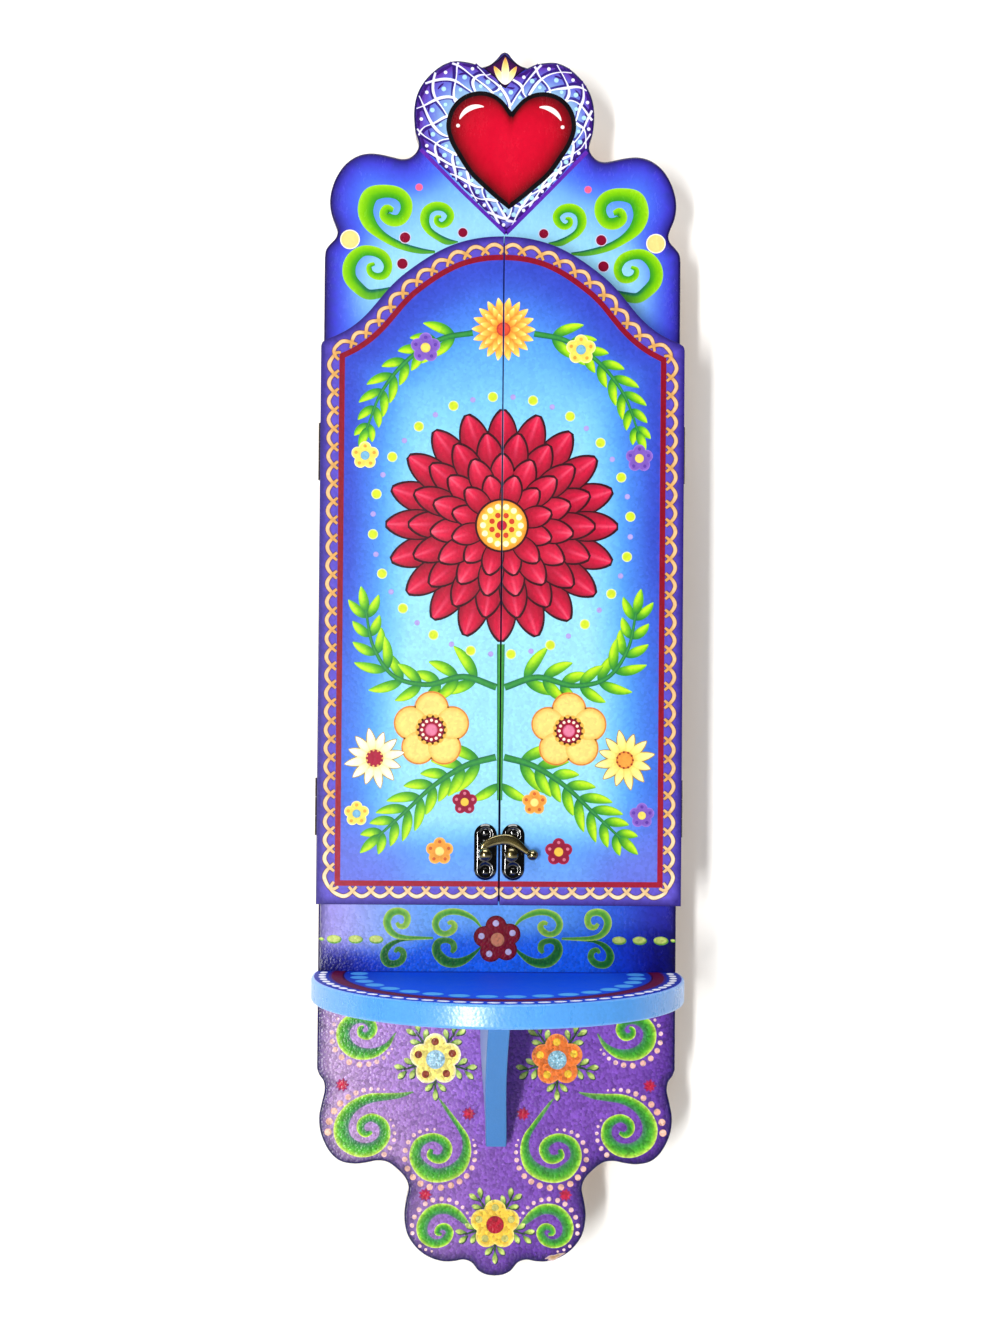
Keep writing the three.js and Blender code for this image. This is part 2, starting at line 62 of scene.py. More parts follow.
CREST_FINIAL = [[0, 304.8], [1.7, 304.1], [3.8, 301.5], [7.4, 298.3], [11.3, 296.9]]
CREST_AND_SHOULDER = [
    [11.3, 296.9], [15.3, 298.7], [20, 299.7], [25.3, 299.9], [30.7, 298.1], [36, 294.1], [40.7, 288.7],
    [43.7, 282.7], [45, 276.1], [45, 269.4], [44.3, 264], [42.9, 259.6], [42.7, 256.8], [44, 253.7],
    [47.3, 251], [51, 250.4], [55.5, 251.3], [61, 252.5], [67, 253], [73, 251.6], [79, 247.4], [83.4, 241],
    [85.8, 234.5], [86.6, 228.5], [85.8, 222.3], [83.7, 216.8], [82.7, 213.4], [83.6, 210.3], [86.2, 207.4],
    [88.3, 204.4], [88.9, 200.5]]
SKIRT = [
    [88.9, -202.6], [87.8, -205.6], [85.7, -208.6], [85, -212.8], [86.3, -219], [87.6, -226], [87.2, -232.5],
    [85.2, -238.6], [81.2, -245], [76.6, -248.4], [70.2, -249.6], [64, -249], [58.8, -248], [53.6, -248.7],
    [47.8, -253], [44.2, -257.3], [43, -261.6], [44, -267], [45, -273.1], [44.7, -279.3], [43.4, -284.4],
    [40.8, -288.8], [37, -292.8], [32, -295.9], [26, -297.7], [20.5, -297.7], [15.5, -296.9], [11.6, -298.2],
    [7.9, -302.4], [4, -304.3], [0, -304.8]]
DOOR_TOP = [
    [88.9, 152.6], [88.3, 154.5], [86.2, 156], [81.4, 158.1], [76, 161], [71, 164.7], [66.5, 169], [61.5, 174.9],
    [56.3, 181.2], [50.6, 186.9], [44.3, 191.9], [38, 196.3], [31.4, 200.2], [24.2, 203.5], [16, 205.9],
    [8, 207.2], [0.4, 207.6]]
HOOK_LINE = [
    [-8.6, -92.6, 0.9], [-7.3, -90.2, 1.9], [-4.6, -88.6, 2.25], [-1.5, -87.5, 2.45], [1.9, -86.9, 2.6],
    [4.6, -87.1, 2.6], [7.2, -88.1, 2.4], [9.6, -89.7, 2.05], [11.9, -91.6, 1.65], [14.2, -93.3, 1.35]]


# ------------------------------------------------------------- curves in plane
def spline(points, per):
    """Open centripetal Catmull-Rom curve through the points."""
    p = np.array(points, float)
    p = np.vstack([2 * p[0] - p[1], p, 2 * p[-1] - p[-2]])
    out = []
    t = (np.arange(per) / per)[:, None]
    for i in range(1, len(p) - 2):
        a, b, c, d = p[i - 1:i + 3]
        d0, d1, d2 = (max(np.linalg.norm(v), 1e-9) ** 0.5 for v in (b - a, c - b, d - c))
        m1 = ((b - a) / d0 - (c - a) / (d0 + d1) + (c - b) / d1) * d1
        m2 = ((c - b) / d1 - (d - b) / (d1 + d2) + (d - c) / d2) * d1
        out.append(b + m1 * t + (-3 * b + 3 * c - 2 * m1 - m2) * t ** 2 + (2 * b - 2 * c + m1 + m2) * t ** 3)
    return np.vstack([*out, p[-2:-1]])


def along(path):
    return np.concatenate([[0], np.cumsum(np.linalg.norm(np.diff(path, axis=0), axis=1))])


def resample(path, step=None, count=None):
    s = along(path)
    n = count or max(2, int(round(s[-1] / step)) + 1)
    u = np.linspace(0, s[-1], n)
    return np.stack([np.interp(u, s, path[:, k]) for k in range(path.shape[1])], axis=1)


def closed(loop):
    return np.vstack([loop, loop[:1]])


def tangents(path, loop=False):
    if loop:
        d = np.roll(path, -1, 0) - np.roll(path, 1, 0)
    else:
        d = np.gradient(path, axis=0)
    return d / np.maximum(np.linalg.norm(d, axis=1), 1e-12)[:, None]


def miter(loop):
    """Outward offset vectors of a loop that runs anticlockwise."""
    e = np.roll(loop, -1, 0) - loop
    e /= np.maximum(np.linalg.norm(e, axis=1), 1e-12)[:, None]
    n = np.stack([e[:, 1], -e[:, 0]], 1)
    m = n + np.roll(n, 1, 0)
    k = np.maximum(1 + (n * np.roll(n, 1, 0)).sum(1), 0.5)
    return m / k[:, None]


def inside(pts, loop):
    a, b = loop, np.roll(loop, -1, 0)
    x, y = pts[:, :1], pts[:, 1:2]
    hit = (a[:, 1] > y) != (b[:, 1] > y)
    dy = np.where(b[:, 1] == a[:, 1], 1e-12, b[:, 1] - a[:, 1])
    cross = x < (b[:, 0] - a[:, 0]) * (y - a[:, 1]) / dy + a[:, 0]
    return (hit & cross).sum(1) % 2 == 1


def distance(pts, path):
    """Distance of each point to a polyline."""
    a, b = path[:-1], path[1:]
    ab = b - a
    ll = np.maximum((ab ** 2).sum(1), 1e-12)
    out = np.empty(len(pts))
    for i in range(0, len(pts), 2000):
        q = pts[i:i + 2000, None] - a
        t = np.clip((q * ab).sum(2) / ll, 0, 1)
        out[i:i + 2000] = np.sqrt(((q - t[..., None] * ab) ** 2).sum(2).min(1))
    return out


def inset_curve(loop, d, step=0.5):
    """The curve inside an anticlockwise loop that keeps a distance d from it."""
    dense = resample(closed(loop), step)[:-1]
    q = dense - d * miter(dense)
    keep = inside(q, loop) & (distance(q, closed(loop)) > d - 0.02)
    return q[keep]


def fill(loop, holes=(), grid=4.0, near=0.6):
    """Triangles of the area inside loop and outside the holes, with inner points on an even grid."""
    loops = [np.asarray(loop, float), *[np.asarray(h, float) for h in holes]]
    edges, start = [], 0
    for lp in loops:
        n = len(lp)
        edges += [(start + i, start + (i + 1) % n) for i in range(n)]
        start += n
    pts = np.vstack(loops)
    if grid:
        lo, hi = loops[0].min(0), loops[0].max(0)
        gy = np.arange(lo[1], hi[1], grid * 0.866)
        rows = [np.stack([np.arange(lo[0] + (k % 2) * grid / 2, hi[0], grid)] * 2, 1) for k in range(len(gy))]
        for k, r in enumerate(rows):
            r[:, 1] = gy[k]
        g = np.vstack(rows)
        ok = inside(g, loops[0])
        for h in loops[1:]:
            ok &= ~inside(g, h)
        g = g[ok]
        far = np.ones(len(g), bool)
        for lp in loops:
            far &= distance(g, closed(lp)) > grid * near
        pts = np.vstack([pts, g[far]])
    res = delaunay_2d_cdt([Vector(p) for p in pts], edges, [], 0, 1e-7)
    v = np.array([tuple(p) for p in res[0]])
    t = np.array([f for f in res[2] if len(f) == 3])
    c = v[t].mean(1)
    ok = inside(c, loops[0])
    for h in loops[1:]:
        ok &= ~inside(c, h)
    t = t[ok]
    a, b, c = v[t[:, 0]], v[t[:, 1]], v[t[:, 2]]
    area = (b[:, 0] - a[:, 0]) * (c[:, 1] - a[:, 1]) - (b[:, 1] - a[:, 1]) * (c[:, 0] - a[:, 0])
    t[area < 0] = t[area < 0][:, ::-1]
    return v, t[np.abs(area) > 1e-9]


def smooth(a, b, x):
    t = np.clip((x - a) / (b - a), 0, 1)
    return t * t * (3 - 2 * t)


def rgb(*c):
    return np.array(c, float)


def lerp(a, b, t):
    t = np.asarray(t, float)
    return a + (b - a) * t[..., None]


def ramp(stops, t):
    """Colour between stops (place, colour) for each t."""
    t = np.asarray(t, float)
    x = [s[0] for s in stops]
    c = np.array([s[1] for s in stops], float)
    return np.stack([np.interp(t, x, c[:, k]) for k in range(3)], axis=-1)


def linear(c):
    c = np.clip(np.asarray(c, float) / 255.0, 0, 1)
    return np.where(c <= 0.04045, c / 12.92, ((c + 0.055) / 1.055) ** 2.4)


# --------------------------------------------------------------- mesh building
class Build:
    """Faces with a colour at each corner, welded into one mesh."""

    def __init__(self):
        self.faces, self.cols, self.uvs, self.tags = [], [], [], []

    def add(self, xyz, col, uv=None, tag=0):
        xyz = np.asarray(xyz, float)
        col = np.broadcast_to(np.asarray(col, float), xyz.shape)
        uv = xyz[..., [0, 2]] if uv is None else np.asarray(uv, float)
        self.faces.append(xyz)
        self.cols.append(col)
        self.uvs.append(uv)
        self.tags.append(np.full(xyz.shape[0] * xyz.shape[1], tag))

    def make(self, name, material, angle=40.0, uv=False):
        co = np.vstack([f.reshape(-1, 3) for f in self.faces])
        col = np.vstack([c.reshape(-1, 3) for c in self.cols])
        uvs = np.vstack([u.reshape(-1, 2) for u in self.uvs])
        sizes = np.concatenate([np.full(len(f), f.shape[1]) for f in self.faces])
        key = np.column_stack([np.round(co * 2000).astype(np.int64), np.concatenate(self.tags)])
        _, first, inv = np.unique(key, axis=0, return_index=True, return_inverse=True)
        inv = inv.reshape(-1)
        verts = co[first] * MM
        faces, rows, at = [], [], 0
        for n in sizes:
            ids = inv[at:at + n]
            ring = [k for k in range(n) if ids[k] != ids[k - 1]]
            if len(ring) >= 3 and len({int(ids[k]) for k in ring}) == len(ring):
                faces.append([int(ids[k]) for k in ring])
                rows.extend(at + k for k in ring)
            at += n
        me = bpy.data.meshes.new(name)
        me.from_pydata(verts.tolist(), [], faces)
        at = me.color_attributes.new("Col", "FLOAT_COLOR", "CORNER")
        rgba = np.ones((len(rows), 4), np.float32)
        rgba[:, :3] = linear(col[rows])
        at.data.foreach_set("color", rgba.ravel())
        if uv:
            u = uvs[rows]
            lo, hi = u.min(0), u.max(0)
            u = (u - lo) / max((hi - lo).max(), 1e-9) * 0.98 + 0.01
            layer = me.uv_layers.new(name="OFBake")
            layer.data.foreach_set("uv", u.astype(np.float32).ravel())
        me.validate()
        me.update()
        me.shade_smooth()
        me.set_sharp_from_angle(angle=math.radians(angle))
        ob = bpy.data.objects.new(name, me)
        bpy.context.scene.collection.objects.link(ob)
        me.materials.append(material)
        return ob


def outward(ob):
    """Turns every closed shell of a mesh outwards."""
    bm = bmesh.new()
    bm.from_mesh(ob.data)
    bmesh.ops.recalc_face_normals(bm, faces=bm.faces)
    bm.to_mesh(ob.data)
    bm.free()
    ob.data.update()
    return ob


def circle(cx, cz, r, n=24):
    a = np.arange(n) / n * 2 * math.pi
    return np.stack([cx + r * np.cos(a), cz + r * np.sin(a)], 1)


def rect(x0, x1, z0, z1, r=0.0, n=4):
    if r <= 0:
        return np.array([[x0, z0], [x1, z0], [x1, z1], [x0, z1]], float)
    pts = []
    for cx, cz, a0 in ((x1 - r, z0 + r, -90), (x1 - r, z1 - r, 0), (x0 + r, z1 - r, 90), (x0 + r, z0 + r, 180)):
        for k in range(n + 1):
            a = math.radians(a0 + 90 * k / n)
            pts.append([cx + r * math.cos(a), cz + r * math.sin(a)])
    return np.array(pts)


def lift(p, y):
    y = np.broadcast_to(y, p.shape[:-1])
    return np.stack([p[..., 0], y, p[..., 1]], -1)


def ring_quads(a, b):
    """Quads from loop a to loop b, corner for corner."""
    return np.stack([a, b, np.roll(b, -1, 0), np.roll(a, -1, 0)], 1)


def panel(name, material, loop, yf, yb, rf, rb, front, side, back, grid, holes=(), place=lambda p: p, uv=True):
    """A flat piece with rounded arrises. The front looks along -Y. A hole is (loop, depth, scale, nested hole)."""
    b = Build()
    m = miter(loop)
    rings = [(rf + 0.5, yf, 0)]
    for k in range(4):
        a = math.radians(30 * k)
        rings.append((rf * (1 - math.sin(a)), yf + rf * (1 - math.cos(a)), 0 if k == 0 else (k / 3)))
    rings += [(0, yf + rf + 0.4, 1), (0, yb - rb - 0.4, 2)]
    for k in range(3, -1, -1):
        a = math.radians(30 * k)
        rings.append((rb * (1 - math.sin(a)), yb - rb * (1 - math.cos(a)), 2 + (1 - k / 3)))
    rings.append((rb + 0.5, yb, 3))
    width = loop[:, 0].max() - loop[:, 0].min() + 30
    made = []
    for d, y, t in rings:
        p = loop - d * m
        xyz = lift(p, y)
        cf, cs, cb = front(p), np.broadcast_to(side, (len(p), 3)), np.broadcast_to(back, (len(p), 3))
        col = cf + (cs - cf) * min(t, 1) if t <= 1 else cs + (cb - cs) * max(t - 2, 0)
        w = p + m * (max(y - yf - rf, 0) * 0.5)
        made.append((xyz, col, w))
    for k in range(len(made) - 1):
        p, q = made[k], made[k + 1]
        b.add(*(ring_quads(p[j], q[j]) for j in range(3)))
    v, t = fill(loop - rings[0][0] * m, grid=grid)
    xyz, col = lift(v, yf), front(v)
    b.add(xyz[t], col[t], v[t])
    loops = [np.asarray(h[0], float) for h in holes]
    v, t = fill(loop - rings[-1][0] * m, loops, grid=grid * 2.5)
    t = t[:, ::-1]
    off = np.array([width, 0.0])
    b.add(lift(v, yb)[t], np.broadcast_to(back, (*t.shape, 3)), (v * [-1, 1] + off)[t])

    def sink(h, y0):
        lp, depth, scale = np.asarray(h[0], float), h[1], h[2]
        nested = h[3] if len(h) > 3 else None
        c = lp.mean(0)
        deep = c + (lp - c) * scale
        q = ring_quads(lift(lp, y0), lift(deep, y0 - depth))
        # the hole walls and floors are painted darker than the back: painted shade in the recesses
        shade = np.broadcast_to(np.asarray(back) * 0.8, (*q.shape[:2], 3))
        b.add(q, shade, q[..., [0, 2]] * [-1, 1] + off)
        inner = [np.asarray(n[0], float) for n in (nested or [])]
        v, t = fill(deep, inner, grid=0)
        t = t[:, ::-1]
        b.add(lift(v, y0 - depth)[t], np.broadcast_to(np.asarray(back) * 0.75, (*t.shape, 3)), (v * [-1, 1] + off)[t])
        for n in nested or []:
            sink(n, y0 - depth)

    for h in holes:
        sink(h, yb)
    ob = b.make(name, material, uv=uv)
    return ob


class Paint:
    """Strokes of paint: flat patches with a colour at each point, each a thin closed film on the ground."""

    def __init__(self):
        self.patches = []

    def patch(self, v, t, c, lvl):
        v, t = np.asarray(v, float), np.asarray(t, int)
        c = np.broadcast_to(np.asarray(c, float), (len(v), 3))
        self.patches.append((v, t, c, float(lvl)))

    def sheet(self, a, c, lvl, loop=False):
        """A grid of points, m along and n across."""
        m, n = a.shape[:2]
        ids = np.arange(m * n).reshape(m, n)
        if loop:
            ids = np.vstack([ids, ids[:1]])
        p, q, r, s = ids[:-1, :-1], ids[1:, :-1], ids[1:, 1:], ids[:-1, 1:]
        t = np.concatenate([np.stack([p, q, r], -1).reshape(-1, 3), np.stack([p, r, s], -1).reshape(-1, 3)])
        self.patch(a.reshape(-1, 2), t, np.asarray(c, float).reshape(-1, 3), lvl)

    def ribbon(self, path, half, col, lvl, cols=5):
        """A stroke. col(u, t) gives its colours along (0 to 1) and across (-1 to 1)."""
        n = np.stack([-tangents(path)[:, 1], tangents(path)[:, 0]], 1)
        t = np.linspace(-1, 1, cols)
        half = np.broadcast_to(half, (len(path),))
        a = path[:, None] + n[:, None] * (half[:, None] * t)[..., None]
        u = along(path)
        u = u / u[-1]
        uu, tt = np.meshgrid(u, t, indexing="ij")
        self.sheet(a, col(uu, tt), lvl)

    def rings(self, loop, centre, stops, lvl):
        """A shape filled from its outline to its centre: stops are (scale, colour) from 1 down to 0."""
        loop, centre = np.asarray(loop, float), np.asarray(centre, float)
        n = len(loop)
        body = [s for s in stops if s[0] > 0]
        v = [centre + (loop - centre) * s for s, _ in body] + [centre[None]]
        c = [np.broadcast_to(col, (n, 3)) for _, col in body] + [np.asarray(stops[-1][1], float)[None]]
        t, ids = [], np.arange(n)
        nxt = (ids + 1) % n
        for k in range(len(body) - 1):
            a, b = k * n, (k + 1) * n
            t += [np.stack([a + ids, a + nxt, b + nxt], 1), np.stack([a + ids, b + nxt, b + ids], 1)]
        a, mid = (len(body) - 1) * n, len(body) * n
        t.append(np.stack([a + ids, a + nxt, np.full(n, mid)], 1))
        self.patch(np.vstack(v), np.vstack(t), np.vstack(c), lvl)

    def dot(self, x, z, r, edge, mid, lvl, n=22, stretch=(1, 1), turn=0.0):
        a = np.arange(n) / n * 2 * math.pi
        p = np.stack([r * stretch[0] * np.cos(a), r * stretch[1] * np.sin(a)], 1)
        ca, sa = math.cos(turn), math.sin(turn)
        p = p @ np.array([[ca, sa], [-sa, ca]]) + [x, z]
        self.rings(p, (x, z), [(1, edge), (0.72, mid), (0, mid)], lvl)

    def area(self, loop, holes, colour, lvl, grid=0):
        v, t = fill(loop, holes, grid=grid)
        self.patch(v, t, colour(v), lvl)

    def clip(self, axis_sign, limit):
        """Keeps what lies beyond limit on one side of the middle."""
        out = Paint()
        for v, t, c, lvl in self.patches:
            s = v[:, 0] * axis_sign - limit
            if (s >= 0).all():
                out.patches.append((v, t, c, lvl))
                continue
            if (s <= 0).all():
                continue
            nv, nc, nt = [], [], []
            for tri in t:
                d = s[tri]
                poly = []
                for k in range(3):
                    i, j = tri[k], tri[(k + 1) % 3]
                    if s[i] >= 0:
                        poly.append((v[i], c[i]))
                    if (s[i] >= 0) != (s[j] >= 0):
                        w = s[i] / (s[i] - s[j])
                        poly.append((v[i] + (v[j] - v[i]) * w, c[i] + (c[j] - c[i]) * w))
                if len(poly) >= 3:
                    at = len(nv)
                    nv += [p[0] for p in poly]
                    nc += [p[1] for p in poly]
                    nt += [(at, at + k, at + k + 1) for k in range(1, len(poly) - 1)]
            if nt:
                out.patches.append((np.array(nv), np.array(nt), np.array(nc), lvl))
        return out

    def make(self, name, material, plane, base=0.03, step=0.008, sunk=0.03):
        b = Build()
        for tag, (v, t, c, lvl) in enumerate(self.patches):
            key = np.round(v * 2000).astype(np.int64)
            _, first, inv = np.unique(key, axis=0, return_index=True, return_inverse=True)
            inv = inv.reshape(-1)
            v, c, t = v[first], c[first], inv[t]
            ok = (t[:, 0] != t[:, 1]) & (t[:, 1] != t[:, 2]) & (t[:, 0] != t[:, 2])
            t = t[ok]
            p, q, r = v[t[:, 0]], v[t[:, 1]], v[t[:, 2]]
            area = (q[:, 0] - p[:, 0]) * (r[:, 1] - p[:, 1]) - (q[:, 1] - p[:, 1]) * (r[:, 0] - p[:, 0])
            t = np.where((area < 0)[:, None], t[:, ::-1], t)
            t = t[np.abs(area) > 1e-7]
            if not len(t):
                continue
            e = np.vstack([t[:, [0, 1]], t[:, [1, 2]], t[:, [2, 0]]])
            code = e[:, 0].astype(np.int64) * (len(v) + 1) + e[:, 1]
            back = e[:, 1].astype(np.int64) * (len(v) + 1) + e[:, 0]
            rim = e[~np.isin(code, back)]
            h = base + step * lvl
            top, low = plane(v, h), plane(v, -sunk)
            b.add(top[t], c[t], v[t], tag)
            b.add(low[t[:, ::-1]], c[t[:, ::-1]], v[t[:, ::-1]], tag)
            i, j = rim[:, 0], rim[:, 1]
            b.add(np.stack([top[i], low[i], low[j], top[j]], 1), np.stack([c[i], c[i], c[j], c[j]], 1),
                  np.stack([v[i], v[i], v[j], v[j]], 1), tag)
        return b.make(name, material, angle=30.0, uv=True)


# -------------------------------------------------------------------- materials
def nodes_of(name):
    m = bpy.data.materials.new(name)
    m.use_nodes = True
    nt = m.node_tree
    nt.nodes.clear()
    out = nt.nodes.new("ShaderNodeOutputMaterial")
    bsdf = nt.nodes.new("ShaderNodeBsdfPrincipled")
    nt.links.new(bsdf.outputs[0], out.inputs[0])
    return m, nt, bsdf


def noise(nt, scale, detail=2.0, rough=0.5, stretch=(1, 1, 1)):
    tc = nt.nodes.new("ShaderNodeTexCoord")
    mp = nt.nodes.new("ShaderNodeMapping")
    mp.inputs["Scale"].default_value = stretch
    nt.links.new(tc.outputs["Object"], mp.inputs["Vector"])
    n = nt.nodes.new("ShaderNodeTexNoise")
    n.inputs["Scale"].default_value = scale
    n.inputs["Detail"].default_value = detail
    n.inputs["Roughness"].default_value = rough
    nt.links.new(mp.outputs[0], n.inputs["Vector"])
    return n.outputs["Fac"]


def pebbles(nt, scale):
    """Distance from the middle of a cell, and the cell's own random value."""
    tc = nt.nodes.new("ShaderNodeTexCoord")
    n = nt.nodes.new("ShaderNodeTexVoronoi")
    n.inputs["Scale"].default_value = scale
    nt.links.new(tc.outputs["Object"], n.inputs["Vector"])
    return n.outputs["Distance"], n.outputs["Color"]


def remap(nt, value, a, b, c, d):
    n = nt.nodes.new("ShaderNodeMapRange")
    n.inputs["From Min"].default_value = a
    n.inputs["From Max"].default_value = b
    n.inputs["To Min"].default_value = c
    n.inputs["To Max"].default_value = d
    nt.links.new(value, n.inputs["Value"])
    return n.outputs[0]


def times(nt, a, b):
    n = nt.nodes.new("ShaderNodeMath")
    n.operation = "MULTIPLY"
    nt.links.new(a, n.inputs[0])
    if isinstance(b, float):
        n.inputs[1].default_value = b
    else:
        nt.links.new(b, n.inputs[1])
    return n.outputs[0]


def plus(nt, a, b):
    n = nt.nodes.new("ShaderNodeMath")
    n.operation = "ADD"
    nt.links.new(a, n.inputs[0])
    nt.links.new(b, n.inputs[1])
    return n.outputs[0]


def tint(nt, colour, value):
    """Colour times a grey value."""
    n = nt.nodes.new("ShaderNodeMix")
    n.data_type = "RGBA"
    n.blend_type = "MULTIPLY"
    n.inputs["Factor"].default_value = 1.0
    nt.links.new(colour, n.inputs["A"])
    nt.links.new(value, n.inputs["B"])
    return n.outputs["Result"]


def painted(name, rough=(0.36, 0.5), peel=0.3, brush=0.3, shade=(0.94, 1.05), specular=0.5, grain=760.0, grit=0.0, depth=0.0003, calm=None):
    """Hand-laid acrylic under satin varnish: faint brush mottle, roller stipple and fine brush lines."""
    m, nt, bsdf = nodes_of(name)
    col = nt.nodes.new("ShaderNodeVertexColor")
    col.layer_name = "Col"
    mottle = noise(nt, 90.0, 4.0, 0.6, (1, 1, 0.55))
    fine = noise(nt, 700.0, 2.0, 0.6, (1, 1, 0.45))
    both = plus(nt, times(nt, mottle, 0.6), times(nt, fine, 0.4))
    reach, lot = pebbles(nt, grain)
    stipple = plus(nt, times(nt, noise(nt, grain, 2.0, 0.6), 0.5), remap(nt, reach, 0.0, 0.8, 0.5, 0.0))
    relief = times(nt, stipple, peel)
    speck = remap(nt, lot, 0.1, 0.9, -grit, grit)
    if calm is not None:
        # the roller left more tooth on the lower part than on the crest and shoulders
        tc = nt.nodes.new("ShaderNodeTexCoord")
        sep = nt.nodes.new("ShaderNodeSeparateXYZ")
        nt.links.new(tc.outputs["Object"], sep.inputs[0])
        tooth = remap(nt, sep.outputs["Z"], -0.175, -0.105, 1.0, calm)
        tooth = times(nt, tooth, remap(nt, sep.outputs["Y"], -0.0112, -0.008, 1.0, 0.15))
        relief, speck = times(nt, relief, tooth), times(nt, speck, tooth)
    tone = times(nt, remap(nt, both, 0.3, 0.7, *shade), remap(nt, speck, -1.0, 1.0, 0.0, 2.0))
    nt.links.new(tint(nt, col.outputs["Color"], tone), bsdf.inputs["Base Color"])
    if brush:
        lines = noise(nt, 1500.0, 1.0, 0.5, (1, 1, 0.16))
        relief = plus(nt, relief, times(nt, lines, brush * 0.5))
    bump = nt.nodes.new("ShaderNodeBump")
    bump.inputs["Strength"].default_value = 0.7
    bump.inputs["Distance"].default_value = depth
    nt.links.new(relief, bump.inputs["Height"])
    nt.links.new(bump.outputs[0], bsdf.inputs["Normal"])
    nt.links.new(remap(nt, both, 0.3, 0.7, *rough), bsdf.inputs["Roughness"])
    bsdf.inputs["Specular IOR Level"].default_value = specular
    return m


def plain_paint(name, dark, light, rough=(0.42, 0.58), peel=0.25, brush=0.5):
    """Plain brushed paint for the sides and the inside."""
    m, nt, bsdf = nodes_of(name)
    streak = noise(nt, 260.0, 3.0, 0.6, (1, 1, 0.12))
    blot = noise(nt, 40.0, 3.0, 0.6)
    both = plus(nt, times(nt, streak, 0.5), times(nt, blot, 0.5))
    cr = nt.nodes.new("ShaderNodeValToRGB")
    cr.color_ramp.elements[0].position, cr.color_ramp.elements[1].position = 0.32, 0.68
    cr.color_ramp.elements[0].color = (*linear(dark), 1)
    cr.color_ramp.elements[1].color = (*linear(light), 1)
    nt.links.new(both, cr.inputs[0])
    nt.links.new(cr.outputs[0], bsdf.inputs["Base Color"])
    bump = nt.nodes.new("ShaderNodeBump")
    bump.inputs["Strength"].default_value = 0.5
    bump.inputs["Distance"].default_value = 0.0003
    stipple = noise(nt, 620.0, 2.0)
    nt.links.new(plus(nt, times(nt, stipple, peel), times(nt, streak, brush)), bump.inputs["Height"])
    nt.links.new(bump.outputs[0], bsdf.inputs["Normal"])
    nt.links.new(remap(nt, both, 0.3, 0.7, *rough), bsdf.inputs["Roughness"])
    return m


def metal(name, stops, scale=500.0, rough=(0.25, 0.5), bump=0.3, cavity=True, lacquer=0.0, wear=0.45):
    """Aged metal: dark patina in the hollows, rubbed bright where it stands proud."""
    m, nt, bsdf = nodes_of(name)
    bsdf.inputs["Coat Weight"].default_value = lacquer
    bsdf.inputs["Coat Roughness"].default_value = 0.07
    bsdf.inputs["Coat IOR"].default_value = 1.8
    blot = noise(nt, scale, 4.0, 0.65)
    value = blot
    if cavity:
        g = nt.nodes.new("ShaderNodeNewGeometry")
        value = plus(nt, times(nt, blot, 1.0 - wear), times(nt, remap(nt, g.outputs["Pointiness"], 0.44, 0.58, 0.0, 1.0), wear))
    cr = nt.nodes.new("ShaderNodeValToRGB")
    el = cr.color_ramp.elements
    el[0].position, el[0].color = stops[0][0], (*linear(stops[0][1]), 1)
    el[1].position, el[1].color = stops[-1][0], (*linear(stops[-1][1]), 1)
    for p, c in stops[1:-1]:
        e = el.new(p)
        e.color = (*linear(c), 1)
    nt.links.new(value, cr.inputs[0])
    nt.links.new(cr.outputs[0], bsdf.inputs["Base Color"])
    bsdf.inputs["Metallic"].default_value = 1.0
    nt.links.new(remap(nt, blot, 0.3, 0.7, rough[1], rough[0]), bsdf.inputs["Roughness"])
    bn = nt.nodes.new("ShaderNodeBump")
    bn.inputs["Strength"].default_value = bump
    bn.inputs["Distance"].default_value = 0.0001
    nt.links.new(noise(nt, scale * 3, 2.0), bn.inputs["Height"])
    nt.links.new(bn.outputs[0], bsdf.inputs["Normal"])
    return m


BOARD_MAT = painted("board_paint", rough=(0.22, 0.3), peel=1.0, brush=0.0, specular=0.3, grain=700.0, grit=0.34, depth=0.0003, calm=0.1)
DOOR_MAT = painted("door_paint", rough=(0.3, 0.42), peel=0.4, brush=0.2, specular=0.2, grain=700.0, grit=0.1, depth=0.0002)
SHELF_MAT = painted("shelf_paint", rough=(0.25, 0.33), peel=0.5, brush=0.0, specular=0.9, grain=620.0, grit=0.04)
DECK_MAT = painted("shelf_top_paint", rough=(0.5, 0.64), peel=0.2, brush=0.1, specular=0.12)
BRACKET_MAT = painted("bracket_paint", rough=(0.34, 0.46), peel=0.3, brush=0.2, specular=0.4)
CABINET_MAT = plain_paint("cabinet_paint", (62, 46, 150), (88, 70, 190))
BRONZE_MAT = metal("antique_bronze", [(0.3, (3, 3, 3)), (0.62, (9, 8, 7)), (0.76, (50, 43, 30)), (0.9, (170, 160, 134))],
                   scale=120.0, rough=(0.12, 0.2), bump=0.01, lacquer=1.0, wear=0.5)
BRASS_MAT = metal("worn_brass", [(0.22, (44, 38, 20)), (0.42, (100, 89, 50)), (0.65, (150, 137, 90)), (0.9, (228, 218, 182))],
                  scale=150.0, rough=(0.17, 0.28), bump=0.04, lacquer=0.6, wear=0.5)
HINGE_MAT = metal("hinge_metal", [(0.25, (14, 11, 10)), (0.55, (36, 30, 24)), (0.85, (92, 80, 60))], scale=500.0, rough=(0.3, 0.5))
ZINC_MAT = metal("zinc_steel", [(0.25, (120, 120, 118)), (0.55, (176, 176, 172)), (0.85, (222, 222, 216))], scale=350.0, rough=(0.25, 0.42))

